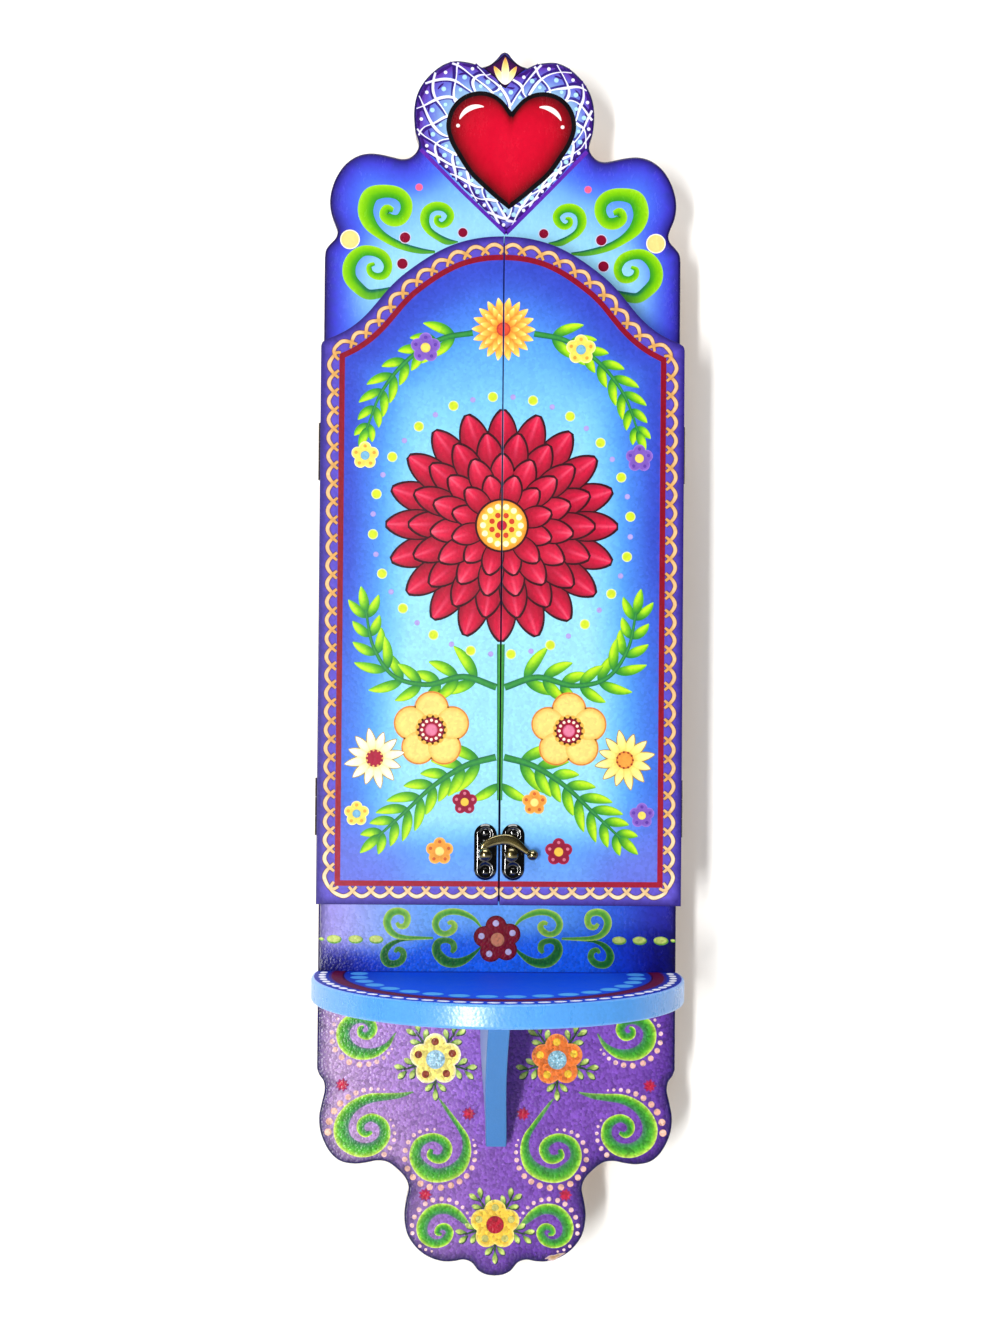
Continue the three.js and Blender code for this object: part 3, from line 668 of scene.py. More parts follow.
# ------------------------------------------------------------------- the board
half = np.vstack([spline(CREST_FINIAL, 5)[:-1], spline(CREST_AND_SHOULDER, 5)[:-1]])
side = np.stack([np.full(60, BOARD_HALF_W), np.linspace(200.5, -202.6, 61)[:-1]], 1)
skirt = spline(SKIRT, 5)
right = np.vstack([half, side, skirt])
BOARD = np.vstack([right, (right[1:-1] * [-1, 1])[::-1]])[::-1]

door_half = spline(DOOR_TOP, 6)
arch_line = np.vstack([door_half, (door_half * [-1, 1])[::-1]])
PAIR = np.vstack([[[-DOOR_HALF_W, DOOR_BOTTOM_Z], [DOOR_HALF_W, DOOR_BOTTOM_Z]], arch_line])
_pair_dense = closed(PAIR)

VIOLET_EDGE = rgb(40, 26, 110)


def board_ground(p):
    x, z = p[:, 0], p[:, 1]
    ax = np.abs(x)
    edge = distance(p, closed(BOARD))
    arch = distance(p, arch_line)
    # shoulders
    up = ramp([(0, rgb(56, 44, 180)), (0.2, rgb(62, 74, 208)), (0.5, rgb(66, 98, 222)), (0.8, rgb(76, 122, 232)), (1, rgb(88, 144, 236))], smooth(0, 26, edge))
    up = lerp(up, rgb(150, 212, 238), smooth(46, 4, arch) * smooth(5, 24, edge) * smooth(150, 196, z))
    # band above the shelf: its upper part and left end are painted lighter as painted sheen, its right side darker as
    # painted shadow of the shelf
    t = np.clip(ax / BOARD_HALF_W, 0, 1)
    band_upper_with_sheen = ramp([(0, rgb(102, 170, 244)), (0.4, rgb(110, 174, 245)), (0.66, rgb(144, 176, 244)), (0.85, rgb(166, 164, 238)), (1, rgb(160, 142, 222))], t)
    band_right_shade = ramp([(0, rgb(88, 156, 240)), (0.4, rgb(64, 136, 234)), (0.68, rgb(50, 96, 218)), (0.85, rgb(44, 54, 178)), (1, rgb(36, 30, 148))], t)
    band_upper_with_sheen = lerp(band_upper_with_sheen, band_right_shade, smooth(0, 60, x))
    lowc = ramp([(0, rgb(20, 108, 246)), (0.5, rgb(14, 98, 240)), (0.72, rgb(10, 54, 200)), (0.9, rgb(4, 8, 124)), (1, rgb(2, 2, 100))], t)
    band = lerp(band_upper_with_sheen, lowc, smooth(-130, -143, z - 3.0 * smooth(0.45, 0.85, t) + 10.0 * smooth(-20, -62, x)))
    # skirt; its left side is painted paler as painted sheen
    sk = ramp([(0, rgb(74, 34, 130)), (0.2, rgb(99, 55, 156)), (1, rgb(117, 69, 171))], smooth(0, 26, edge))
    sk = lerp(sk, ramp([(0, rgb(148, 114, 166)), (0.2, rgb(176, 143, 188)), (1, rgb(170, 131, 191))], smooth(0, 26, edge)), smooth(20, -80, x))
    out = np.where((z > -118)[:, None], up, np.where((z > -160)[:, None], band, sk))
    crown = np.array(DOOR_TOP)[::-1]
    room = (ax < 80) & (z > -118) & (z < np.interp(ax, crown[:, 0], crown[:, 1]) - 5.5)
    out = np.where(room[:, None], rgb(86, 84, 206), out)
    # a thin dark line along the outline is painted shade at the board's edges
    return lerp(out, rgb(20, 12, 66), smooth(2.0, 0.9, edge) * 0.9)


rim_dark = rgb(34, 22, 92)
back_wood = rgb(176, 140, 98)
key_z = 262.0
hole_screw = [(-55, -159.75), (0, -159.75), (55, -159.75), (0, -182), (0, -207)]
back_holes = [(circle(x, z, 3.64, 28), 3.5, 0.5, None) for x, z in hole_screw]
back_holes.append((rect(-19.3, 19.3, key_z - 7.8, key_z + 7.8), 2.3, 1.0,
                   [(rect(-6, 6, key_z - 6, key_z + 6), 5.7, 1.0, None)]))


def board_front(p):
    return board_ground(p)


board = panel("altar_back_board", BOARD_MAT, BOARD, -BOARD_T, 0.0, 0.9, 0.6, board_front, rim_dark, back_wood, 4.0, back_holes)
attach(board, "cabinet")
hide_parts("back_board")


# -------------------------------------------------------------------- the doors
def door_ground(p):
    x, z = p[:, 0], p[:, 1]
    d = distance(p, _pair_dense)
    t = smooth(10, 54, d) * (0.34 + 0.66 * smooth(196, 70, z))
    t = np.clip(t + 0.16 * smooth(70, -40, z), 0, 1)
    t = np.maximum(t, 0.52 * smooth(-40, -104, z) * smooth(74, 34, np.abs(x)))
    field = ramp([(0, rgb(46, 64, 182)), (0.16, rgb(58, 102, 206)), (0.45, rgb(76, 146, 228)), (0.75, rgb(114, 186, 236)), (1, rgb(144, 208, 236))], t)
    field = lerp(field, rgb(108, 146, 226), 0.55 * smooth(-78, -108, z))
    corner = smooth(46, 6, np.hypot(np.abs(x) - 76, z + 106))
    field = lerp(field, rgb(98, 106, 206), corner * 0.8)
    border = lerp(rgb(66, 50, 164), rgb(84, 70, 184), smooth(0, 6, d))
    # a thin dark line along the door's outline is painted shade at its edge
    border = lerp(border, rgb(36, 24, 108), smooth(1.3, 0.5, d))
    # the border is painted lighter lavender towards the bottom as painted sheen
    border = lerp(border, rgb(98, 86, 196), smooth(-60, -118, z) * smooth(0.4, 1.4, d) * 0.6)
    return lerp(border, field, smooth(9.4, 11.4, d))


SEAM = 0.4


def seam_at(z):
    """Distance of a door's free edge from the middle: the pair closes tighter at the top."""
    return 0.22 + 0.2 * smooth(130.0, -70.0, np.asarray(z, float))


def door_loop(s):
    pts = np.vstack([[[SEAM, DOOR_BOTTOM_Z], [DOOR_HALF_W, DOOR_BOTTOM_Z]], door_half[:-1], [[SEAM, door_half[-1][1]]]])
    loop = np.vstack([resample(np.vstack([pts[k], pts[(k + 1) % len(pts)]]), count=max(2, int(np.linalg.norm(pts[k] - pts[(k + 1) % len(pts)]) / 4) + 2))[:-1]
                      for k in range(len(pts))])
    free = np.isclose(loop[:, 0], SEAM)
    loop[free, 0] = seam_at(loop[free, 1])
    return loop if s > 0 else (loop * [-1, 1])[::-1]


def cut_boxes(ob, boxes):
    """Cuts boxes (lo, hi in mm) out of a piece and keeps the result as its mesh."""
    tools = []
    for lo, hi in boxes:
        me = bpy.data.meshes.new("cutter")
        bm = bmesh.new()
        bmesh.ops.create_cube(bm, size=1.0)
        for v in bm.verts:
            v.co = Vector([(lo[k] + hi[k]) / 2 + v.co[k] * (hi[k] - lo[k]) for k in range(3)]) * MM
        bm.to_mesh(me)
        bm.free()
        t = bpy.data.objects.new("cutter", me)
        bpy.context.scene.collection.objects.link(t)
        md = ob.modifiers.new("cut", "BOOLEAN")
        md.operation, md.object, md.solver = "DIFFERENCE", t, "EXACT"
        tools.append(t)
    bpy.context.view_layer.update()
    new = bpy.data.meshes.new_from_object(ob.evaluated_get(bpy.context.evaluated_depsgraph_get()))
    ob.modifiers.clear()
    old = ob.data
    ob.data = new
    new.name = ob.name
    bpy.data.meshes.remove(old)
    for t in tools:
        me = t.data
        bpy.data.objects.remove(t)
        bpy.data.meshes.remove(me)
    return ob


doors = {}
for s, word in ((-1, "left"), (1, "right")):
    ob = panel(f"{word}_door_panel", DOOR_MAT, door_loop(s), DOOR_FRONT_Y, DOOR_BACK_Y, 0.2, 0.3, door_ground,
               rgb(34, 24, 92), rgb(84, 68, 186), 4.0)
    inner = HINGE_X - 1.8
    boxes = []
    for z in HINGE_Z:
        x0, x1 = (inner, 92) if s > 0 else (-92, -inner)
        boxes.append(((x0, HINGE_Y - 1.8, z - 14.4), (x1, DOOR_BACK_Y + 1, z + 14.4)))
    cut_boxes(ob, boxes)
    # the faces along the seam are painted near-black: painted shade in the gap between the doors
    tones = ob.data.color_attributes["Col"].data
    free = [abs(v.co.x) / MM < seam_at(v.co.z / MM) + 0.02 + 0.1 * smooth(130.0, -70.0, v.co.z / MM) for v in ob.data.vertices]
    for poly in ob.data.polygons:
        if all(free[i] for i in poly.vertices):
            for i in poly.loop_indices:
                tones[i].color = (*linear(rgb(9, 7, 22)), 1)
    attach(ob, f"{word}_door")
    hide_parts(f"door_{word}")
    doors[word] = ob

# ------------------------------------------------------------ painted ornament
LIME, LEAF, DEEP, PALE = rgb(150, 218, 24), rgb(92, 184, 40), rgb(36, 112, 48), rgb(222, 240, 140)


def turn_sign(path):
    d = np.diff(path, axis=0)
    return np.sign((d[:-1, 0] * d[1:, 1] - d[:-1, 1] * d[1:, 0]).sum())


def scroll(paint, pts, style, lvl, per=8):
    """A tapering scroll from its tail to its curled end: points are (x, z, half width)."""
    line = resample(spline(pts, per), 0.7)
    path, w = line[:, :2], np.maximum(line[:, 2], 0.1)
    s = along(path)
    u = s / s[-1]
    out = -turn_sign(path)
    tg = tangents(path)
    head = np.unwrap(np.arctan2(tg[:, 1], tg[:, 0]))
    bend = np.abs(np.gradient(head, s))
    bend = np.convolve(np.pad(bend, 4, mode="edge"), np.ones(9) / 9, "valid")
    inner = np.minimum(w, 0.86 / np.maximum(bend, 1e-6))
    n = np.stack([-tg[:, 1], tg[:, 0]], 1) * out
    t = np.linspace(-1, 1, 9)
    a = path[:, None] + n[:, None] * np.where(t > 0, w[:, None] * t, inner[:, None] * t)[..., None]
    uu, tt = np.meshgrid(u, t, indexing="ij")
    o = (tt + 1) / 2
    if style == "shoulder":
        c = ramp([(0, rgb(48, 144, 42)), (0.25, rgb(70, 162, 18)), (0.5, rgb(106, 186, 4)), (0.85, rgb(140, 204, 8)), (1, rgb(158, 214, 66))], o)
        c = lerp(c, rgb(66, 146, 56), smooth(0.3, 0.05, uu) * 0.8)
        c = lerp(c, rgb(6, 80, 90), smooth(0.4, 0.1, uu) * smooth(0.42, 0.1, o) * 0.8)
    elif style == "band_low":
        c = ramp([(0, rgb(96, 160, 70)), (0.16, rgb(22, 108, 40)), (0.6, rgb(14, 104, 34)), (0.84, rgb(44, 130, 40)), (1, rgb(146, 194, 84))], o)
        c = lerp(c, rgb(120, 180, 60), smooth(0.6, 1.0, uu) * 0.5)
    elif style == "band":
        c = ramp([(0, rgb(170, 214, 90)), (0.2, rgb(76, 158, 56)), (0.55, rgb(84, 170, 56)), (0.82, rgb(140, 204, 70)), (1, rgb(206, 232, 110))], o)
        c = lerp(c, rgb(204, 230, 80), smooth(0.6, 1.0, uu) * 0.5)
    else:
        c = ramp([(0, rgb(92, 112, 116)), (0.14, rgb(50, 126, 76)), (0.4, rgb(48, 142, 40)), (0.68, rgb(78, 168, 36)), (0.87, rgb(150, 202, 54)), (1, rgb(214, 228, 110))], o)
        c = lerp(c, rgb(104, 140, 92), smooth(0.2, 0.0, uu) * 0.7)
    paint.sheet(a, c, lvl)
    return path, w, out


def flip(pts):
    return [[-p[0], *p[1:]] for p in pts]


def bead_row(paint, path, w, out, u0, u1, rmin, rmax, lvl, keep=None, peak=0.55):
    """Graded dots that follow a scroll's outer edge."""
    s = along(path)
    n = np.stack([-tangents(path)[:, 1], tangents(path)[:, 0]], 1) * out
    grade = lambda u: math.sin(math.pi * np.clip((u - u0) / (u1 - u0), 0, 1) ** (math.log(0.5) / math.log(peak))) ** 0.8
    u = u0
    while u < u1:
        r = rmin + (rmax - rmin) * grade(u)
        at = u * s[-1]
        x, z, nx, nz, ww = (np.interp(at, s, q) for q in (path[:, 0], path[:, 1], n[:, 0], n[:, 1], w))
        x, z = x + nx * (ww + 1.35 + 0.75 * r), z + nz * (ww + 1.35 + 0.75 * r)
        if keep is None or keep(x, z, r):
            mid = lerp(rgb(238, 196, 200), rgb(238, 180, 158), smooth(0.9, 1.7, r))
            paint.dot(x, z, r, mid * 0.95, mid, lvl, n=16)
        # step along the outer edge, which is longer than the middle line
        j = int(np.clip(np.searchsorted(s, at), 1, len(s) - 2))
        off = path + n * (w + 2.0)[:, None]
        stretch = np.linalg.norm(off[j + 1] - off[j - 1]) / max(np.linalg.norm(path[j + 1] - path[j - 1]), 1e-6)
        u += (2 * r + 1.7) / max(stretch, 0.5) / s[-1]


def petals5(cx, cz, r, turn):
    """Outline of a flower of five round petals."""
    a = np.arange(110) / 110 * 2 * math.pi
    d, q = 0.56 * r, 0.44 * r
    step = 2 * math.pi / 5
    phi = (a - turn + step / 2) % step - step / 2
    rr = d * np.cos(phi) + np.sqrt(np.maximum(q * q - (d * np.sin(phi)) ** 2, 0.0))
    return np.stack([cx + rr * np.cos(a), cz + rr * np.sin(a)], 1)


def flower(paint, cx, cz, r, turn, petal, rim, spot, spot_r, centre, centre_r, lvl, core=None, under=None):
    loop = petals5(cx, cz, r, turn)
    if under is not None:
        paint.rings(petals5(cx, cz, r * 1.06, turn), (cx, cz), [(1, under), (0, under)], lvl)
    paint.rings(loop, (cx, cz), [(1, rim), (0.86, petal), (0.45, petal * 0.97), (0, petal * 0.9)], lvl + 1)
    for k in range(5):
        a = turn + k * 2 * math.pi / 5
        paint.dot(cx + 0.68 * r * math.cos(a), cz + 0.68 * r * math.sin(a), spot_r, spot * 0.9, spot, lvl + 2, n=18)
    paint.dot(cx, cz, centre_r, centre * 0.92, centre, lvl + 2, n=26)
    if core is not None:
        paint.dot(cx, cz, centre_r * 0.45, core, core, lvl + 3, n=18)


def leaf(paint, base, angle, length, width, lvl, bend=0.0, stops=None, plain=False, drop=0.85):
    u = np.linspace(0, 1, 17)
    a = angle + bend * (u - 0.3)
    step = np.stack([np.cos(a), np.sin(a)], 1) * (length / 16)
    path = np.asarray(base, float) + np.vstack([[0, 0], np.cumsum(step[:-1], 0)])
    w = width * np.sin(math.pi * np.clip(u, 0.012, 0.988) ** drop) ** 0.66
    stops = stops or [(0, rgb(22, 104, 62)), (0.2, rgb(72, 156, 36)), (0.5, rgb(150, 208, 14)), (0.8, rgb(170, 222, 16)), (1, rgb(150, 212, 40))]

    def col(uu, tt):
        c = ramp(stops, uu)
        if plain:
            return lerp(c, stops[0][1], smooth(0.5, 1.0, np.abs(tt)) * 0.35)
        c = lerp(c, rgb(24, 118, 44), smooth(0.1, -0.95, tt) * 0.78 * (1 - 0.35 * uu))
        c = lerp(c, rgb(60, 150, 50), smooth(0.75, 1.0, tt) * 0.6)
        return lerp(c, rgb(214, 240, 60), smooth(0.05, 0.4, tt) * smooth(0.85, 0.6, tt) * smooth(0.15, 0.6, uu) * 0.55)

    paint.ribbon(path, w, col, lvl, cols=9)


def sprig(paint, x, z, angle, lvl, size=1.0, pairs=2):
    stops = [(0, rgb(40, 78, 36)), (0.3, rgb(112, 150, 60)), (0.65, rgb(190, 208, 104)), (1, rgb(208, 222, 136))]
    d = np.array([math.cos(angle), math.sin(angle)])
    base = np.array([x, z])
    tip = 3.1 if pairs == 2 else 1.8
    paint.ribbon(np.stack([base - d * 1.5, base + d * 1.2 * size, base + d * (tip + 1.2) * size]), np.array([0.6, 0.45, 0.25]) * size,
                 lambda u, t: np.broadcast_to(rgb(36, 66, 40), (*u.shape, 3)), lvl, cols=3)
    leaves = [(0.0, -0.86, 4.5), (0.0, 0.86, 4.5), (tip, -0.42, 4.6), (tip, 0.42, 4.6)] if pairs == 2 else [(0.2, -0.78, 4.6), (0.2, 0.78, 4.6), (tip, 0.0, 5.2)]
    for k, (off, da, ln) in enumerate(leaves):
        side = np.array([-d[1], d[0]]) * np.sign(da) * 0.45
        at = base + (d * off + side) * size
        leaf(paint, at + np.array([0.3, -0.34]) * size, angle + da, ln * size, 1.05 * size, lvl + 0.2, drop=1.7, plain=True,
             stops=[(0, rgb(34, 40, 50)), (1, rgb(44, 58, 52))])
        leaf(paint, at, angle + da, ln * size, 1.0 * size, lvl + 0.4 * (k + 1), drop=1.7, stops=stops, plain=True)


def star(paint, x, z, r, lvl):
    a = np.arange(48) / 48 * 2 * math.pi
    rr = r * (0.86 + 0.14 * np.cos(9 * a) + 0.05 * np.sin(5 * a + 1))
    loop = np.stack([x + rr * np.cos(a), z + rr * np.sin(a)], 1)
    paint.rings(loop, (x, z), [(1, rgb(112, 44, 140)), (0.86, rgb(150, 36, 100)), (0.66, rgb(180, 24, 66)), (0, rgb(190, 22, 56))], lvl)


front_board = lambda v, h: lift(v, -BOARD_T - h)
front_door = lambda v, h: lift(v, DOOR_FRONT_Y - h)

# crest
crest = Paint()
HEART_HALF = [[0, 274.8], [5.4, 281.0], [10.6, 284.0], [17.6, 284.7], [25.0, 282.0], [30.4, 276.0], [32.5, 267.5], [30.6, 259.7],
              [26.2, 251.9], [20.0, 243.0], [12.8, 236.2], [6.1, 230.4], [0, 225.7]]
hh = spline(HEART_HALF, 6)
RIM = np.vstack([hh, (hh[1:-1] * [-1, 1])[::-1]])[::-1]
RIM[:, 0] += 2.7 + 0.02 * (RIM[:, 1] - 226)
HC = np.array([2.9, 257.0])
from_mid = RIM - HC
reach_ = np.linalg.norm(from_mid, axis=1)
face_on = np.clip(np.abs((miter(RIM) * from_mid).sum(1)) / (np.linalg.norm(miter(RIM), axis=1) * reach_), 0.55, 1.0)
HEART = HC + from_mid * (1 - 2.3 / face_on / reach_)[:, None]
cr_half = np.array([p for p in spline(CREST_AND_SHOULDER, 5) if p[1] > 257.2])
net_half = np.vstack([[[0, 294.0], [9.8, 295.6]], cr_half[(cr_half[:, 0] > 12.5) | (cr_half[:, 1] > 297.2)], [[0, 213.4]]])
NET = np.vstack([net_half, (net_half[1:-1] * [-1, 1])[::-1]])[::-1]
NET[:, 0] += 1.4 * smooth(240, 213, NET[:, 1])
net_in = resample(closed(NET), 0.8)[:-1]


def polar(loop, th):
    d = loop - HC
    a = np.unwrap(np.arctan2(d[:, 1], d[:, 0]))
    r = np.hypot(d[:, 0], d[:, 1])
    if a[-1] < a[0]:
        a, r = a[::-1], r[::-1]
    a = np.concatenate([a - 2 * math.pi, a, a + 2 * math.pi])
    r = np.tile(r, 3)
    return np.interp(th, a, r)


ring_th = np.linspace(-math.pi / 2, 1.5 * math.pi, 181)[:-1]
heart_dense = resample(closed(RIM), 0.4)[:-1]


def net_point(th, t):
    r0, r1 = polar(heart_dense, th), polar(net_in, th) - 1.2
    r = r0 + (r1 - r0) * t
    return np.stack([HC[0] + r * np.cos(th), HC[1] + r * np.sin(th)], -1)


# the net's rays stand at even steps along its middle line, not at even angles
mid_path = net_point(np.linspace(-math.pi / 2, 1.5 * math.pi, 721), np.full(721, 0.6))
mid_s = along(mid_path)
mid_th = np.linspace(-math.pi / 2, 1.5 * math.pi, 721)
ray = lambda q: np.interp((q % 1.0) * mid_s[-1], mid_s, mid_th) + 2 * math.pi * np.floor(q)
tt = np.linspace(-0.05, 1.0, 8)
grid_th, grid_t = np.meshgrid(ring_th, tt, indexing="ij")
base_net = net_point(grid_th.ravel(), grid_t.ravel()).reshape(len(ring_th), len(tt), 2)
low_part = smooth(262, 228, base_net[..., 1])
net_col = ramp([(0, rgb(138, 178, 212)), (0.25, rgb(120, 150, 210)), (0.5, rgb(96, 108, 204)), (0.7, rgb(92, 82, 188)), (0.86, rgb(88, 48, 160)), (1, rgb(60, 22, 126))], np.clip(grid_t, 0, 1))
net_col = lerp(net_col, rgb(168, 204, 234), low_part * 0.6 * (1 - np.clip(grid_t, 0, 1)))
crest.sheet(base_net, net_col, 0, loop=True)
# purple line along the lower sides of the net
for s in (-1, 1):
    line = np.array([[s * 41.6, 255.2], [s * 22 + 0.5, 235.2], [1.4, 213.6]])
    crest.ribbon(resample(line, 1.0), 0.95, lambda u, t: ramp([(0, rgb(92, 36, 160)), (1, rgb(84, 34, 168))], u), 4.4, cols=3)
N_NET, SWEEP = 19, 1.2
t = np.linspace(0.0, 1.0, 18)
for k in range(N_NET):
    q0 = (k + 0.25) / N_NET
    for sgn in (-1, 1):
        run = q0 + (sgn * SWEEP * t ** 1.2 + 0.1 * np.sin(2.3 * k + 6.0 * t + sgn)) / N_NET
        p = net_point(ray(run), t)
        sh = net_point(ray(run + 0.1 / N_NET), t) + [0.1, 0.3]
        crest.ribbon(sh, 0.6 + 0.5 * t, lambda u, q: ramp([(0, rgb(70, 74, 160)), (0.4, rgb(48, 30, 122)), (1, rgb(44, 16, 104))], u), 1.0 + 0.3 * (sgn > 0), cols=3)
        crest.ribbon(p, (0.66 - 0.3 * np.abs(t - 0.4)) * (0.82 + 0.36 * np.sin(1.9 * k + 5.0 * t + 2.0 * sgn)), lambda u, q: lerp(rgb(240, 244, 252), rgb(214, 208, 244), u * 0.8), 2.0 + 0.5 * (sgn > 0), cols=3)
    for tq, w_, reach_q in ((0.93, 0.85, 0.3), (0.62, 0.5, 0.16)):
        qs = q0 + (0.5 + np.linspace(-reach_q, reach_q, 9)) / N_NET if tq > 0.8 else q0 + np.linspace(-reach_q, reach_q, 9) / N_NET
        crest.ribbon(net_point(ray(qs), np.full(9, tq)), w_ * np.sin(math.pi * np.linspace(0.08, 0.92, 9)) ** 0.7,
                     lambda u, q: np.broadcast_to(rgb(50, 16, 108), (*u.shape, 3)), 0.6, cols=3)
    for tq, rq, dq, cq in ((0.19, 0.95, 0.5, rgb(176, 226, 232)), (0.5, 1.2, 0.0, rgb(170, 214, 238)), (0.83, 0.9, 0.5, rgb(226, 226, 248))):
        p = net_point(np.array([ray(q0 + dq / N_NET)]), np.array([tq]))[0]
        crest.dot(p[0], p[1], rq, cq * 0.92, cq, 3.2, n=14)
crest.sheet(np.stack([RIM, HC + (HEART - HC) * 0.97], 1), np.broadcast_to(rgb(8, 3, 8), (len(RIM), 2, 3)), 5, loop=True)
crest.rings(HEART, HC, [(1, rgb(84, 0, 10)), (0.95, rgb(112, 0, 14)), (0.86, rgb(150, 0, 22)), (0.72, rgb(182, 0, 32)), (0.5, rgb(198, 0, 38)), (0.25, rgb(202, 0, 40)), (0, rgb(202, 0, 40))], 6)
# a shine on each lobe
for cx, a0, a1 in ((-12.5, 78, 158), (18.6, 22, 96)):
    a = np.radians(np.linspace(a0, a1, 17))
    arc_ = np.stack([cx + 10.6 * np.cos(a), 266.6 + 10.6 * np.sin(a)], 1)
    crest.ribbon(arc_, 0.1 + 1.15 * np.sin(math.pi * np.linspace(0.02, 0.98, 17)) ** 0.8, lambda u, t: np.broadcast_to(rgb(246, 226, 228), (*u.shape, 3)), 7, cols=5)
    a = math.radians(a1 + 18 if cx < 0 else a0 - 18)
    crest.dot(cx + 10.6 * math.cos(a), 266.6 + 10.6 * math.sin(a), 0.95, rgb(246, 226, 228), rgb(246, 226, 228), 7, n=16)
# tip: dark diamond with a bud of three leaves
dia = np.vstack([spline([[0, 303.6], [3.6, 300.4], [10.4, 296.2]], 6), spline([[10.4, 296.2], [4.8, 291.6], [0.6, 286.4]], 6)[1:]])
dia = np.vstack([dia, (dia[1:-1] * [-1, 1])[::-1]])[::-1]
crest.rings(dia, (0, 295.6), [(1, rgb(14, 4, 28)), (0.93, rgb(16, 4, 32)), (0.86, rgb(46, 8, 62)), (0.6, rgb(62, 10, 70)), (0, rgb(76, 14, 76))], 4.6)
bud = [(0, rgb(250, 248, 240)), (0.4, rgb(252, 238, 190)), (0.8, rgb(244, 190, 92)), (1, rgb(214, 130, 60))]
for k, (a, ln, w) in enumerate(((0.56, 10.6, 1.7), (-0.56, 10.6, 1.7), (0.0, 13.4, 1.9))):
    leaf(crest, (0.3, 288.4), math.pi / 2 + a, ln, w, 6 + 0.5 * k, stops=bud, plain=True)
ob = crest.make("crest_ornament", BOARD_MAT, front_board)
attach(ob, "cabinet")

# shoulders
SH1 = [[-34.0, 203.9, 0.66], [-41.5, 204.4, 1.49], [-52.3, 207.3, 1.91], [-61.1, 212.2, 2.32], [-66.7, 217.8, 3.4], [-68.8, 224.4, 3.89],
       [-66.3, 231.8, 3.98], [-59.6, 233.9, 3.31], [-52.5, 232.8, 3.15], [-49.0, 229.3, 3.06], [-48.5, 224.7, 2.98], [-51.3, 220.0, 2.9],
       [-55.7, 219.4, 3.0], [-59.3, 222.1, 2.7], [-58.1, 225.2, 2.3], [-55.0, 224.5, 1.2]]
SH2 = [[-22.6, 209.1, 0.33], [-27.8, 209.2, 1.66], [-33.3, 211.8, 1.66], [-37.4, 215.0, 1.82], [-39.3, 219.4, 2.32], [-38.3, 224.2, 2.4],
       [-34.2, 226.8, 2.32], [-29.1, 226.0, 2.15], [-26.4, 222.5, 1.91], [-27.7, 219.0, 1.82], [-30.8, 217.4, 1.57], [-33.3, 218.9, 1.41],
       [-33.2, 221.2, 1.24], [-31.0, 221.6, 0.66]]
SH3 = [[-56.0, 184.6, 1.6], [-61.2, 182.9, 2.32], [-67.4, 182.3, 2.65], [-72.2, 185.6, 2.98], [-76.1, 190.3, 3.23], [-76.7, 195.6, 3.31], [-74.7, 200.3, 3.15],
       [-69.9, 203.9, 2.73], [-63.9, 203.7, 2.48], [-59.3, 201.1, 2.4], [-57.3, 196.4, 2.15], [-59.0, 192.2, 2.07], [-62.8, 191.3, 1.74],
       [-66.1, 193.1, 1.57], [-66.7, 196.4, 1.33], [-64.0, 197.7, 0.83]]
shoulder = Paint()
for fl in (False, True):
    g = flip if fl else (lambda q: q)
    for pts in (SH1, SH2, SH3):
        scroll(shoulder, g(pts), "shoulder", 1)
    s = 1 if fl else -1
    shoulder.dot(s * 76.4, 209.6, 4.9, rgb(250, 236, 206), rgb(250, 236, 206), 2, n=30)
    shoulder.dot(s * 76.4, 209.6, 4.3, rgb(248, 204, 122), rgb(250, 208, 128), 2.5, n=30)
    for x, z, r in ((49.0, 210.9, 2.6), (50.2, 197.8, 2.6), (20.2, 213.8, 2.3)):
        shoulder.dot(s * x, z, r + 0.4, rgb(214, 200, 228), rgb(214, 200, 228), 2, n=22)
        shoulder.dot(s * x, z, r, rgb(104, 0, 34), rgb(132, 0, 42), 3, n=22)
    shoulder.dot(s * 42.2, 236.2, 1.9, rgb(206, 116, 190), rgb(236, 92, 130), 2, n=16)
ob = shoulder.make("shoulder_scrolls", BOARD_MAT, front_board)
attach(ob, "cabinet")

# band above the shelf
B_IN_U = [[-8.0, -132.3, 0.41], [-11.6, -128.2, 0.99], [-16.6, -125.5, 1.49], [-21.2, -124.5, 1.66], [-25.7, -125.0, 1.66], [-29.3, -127.1, 1.82],
          [-30.9, -130.5, 1.74], [-29.6, -134.1, 1.66], [-26.1, -135.6, 1.49], [-22.6, -134.1, 1.66], [-21.3, -131.6, 1.57], [-23.0, -129.8, 1.24], [-24.8, -130.5, 0.83]]
B_IN_L = [[-8.0, -141.7, 0.33], [-11.5, -145.3, 0.99], [-16.0, -148.5, 1.82], [-20.6, -149.9, 2.32], [-25.5, -149.2, 2.65], [-29.1, -146.2, 2.57],
          [-30.4, -142.8, 2.24], [-29.2, -139.7, 1.82], [-25.6, -138.7, 1.41], [-22.2, -140.1, 1.57], [-21.6, -142.9, 1.57], [-22.8, -144.9, 0.83]]
B_OUT_U = [[-32.0, -137.7, 0.58], [-39.3, -137.7, 0.91], [-45.9, -137.5, 1.16], [-50.7, -136.3, 1.49], [-53.8, -133.4, 1.82], [-54.9, -129.3, 1.99],
           [-52.9, -125.5, 1.99], [-49.1, -124.4, 1.82], [-45.7, -125.7, 1.74], [-44.7, -128.4, 1.66], [-45.9, -131.5, 1.57], [-48.6, -131.9, 1.24], [-50.1, -130.1, 0.83]]
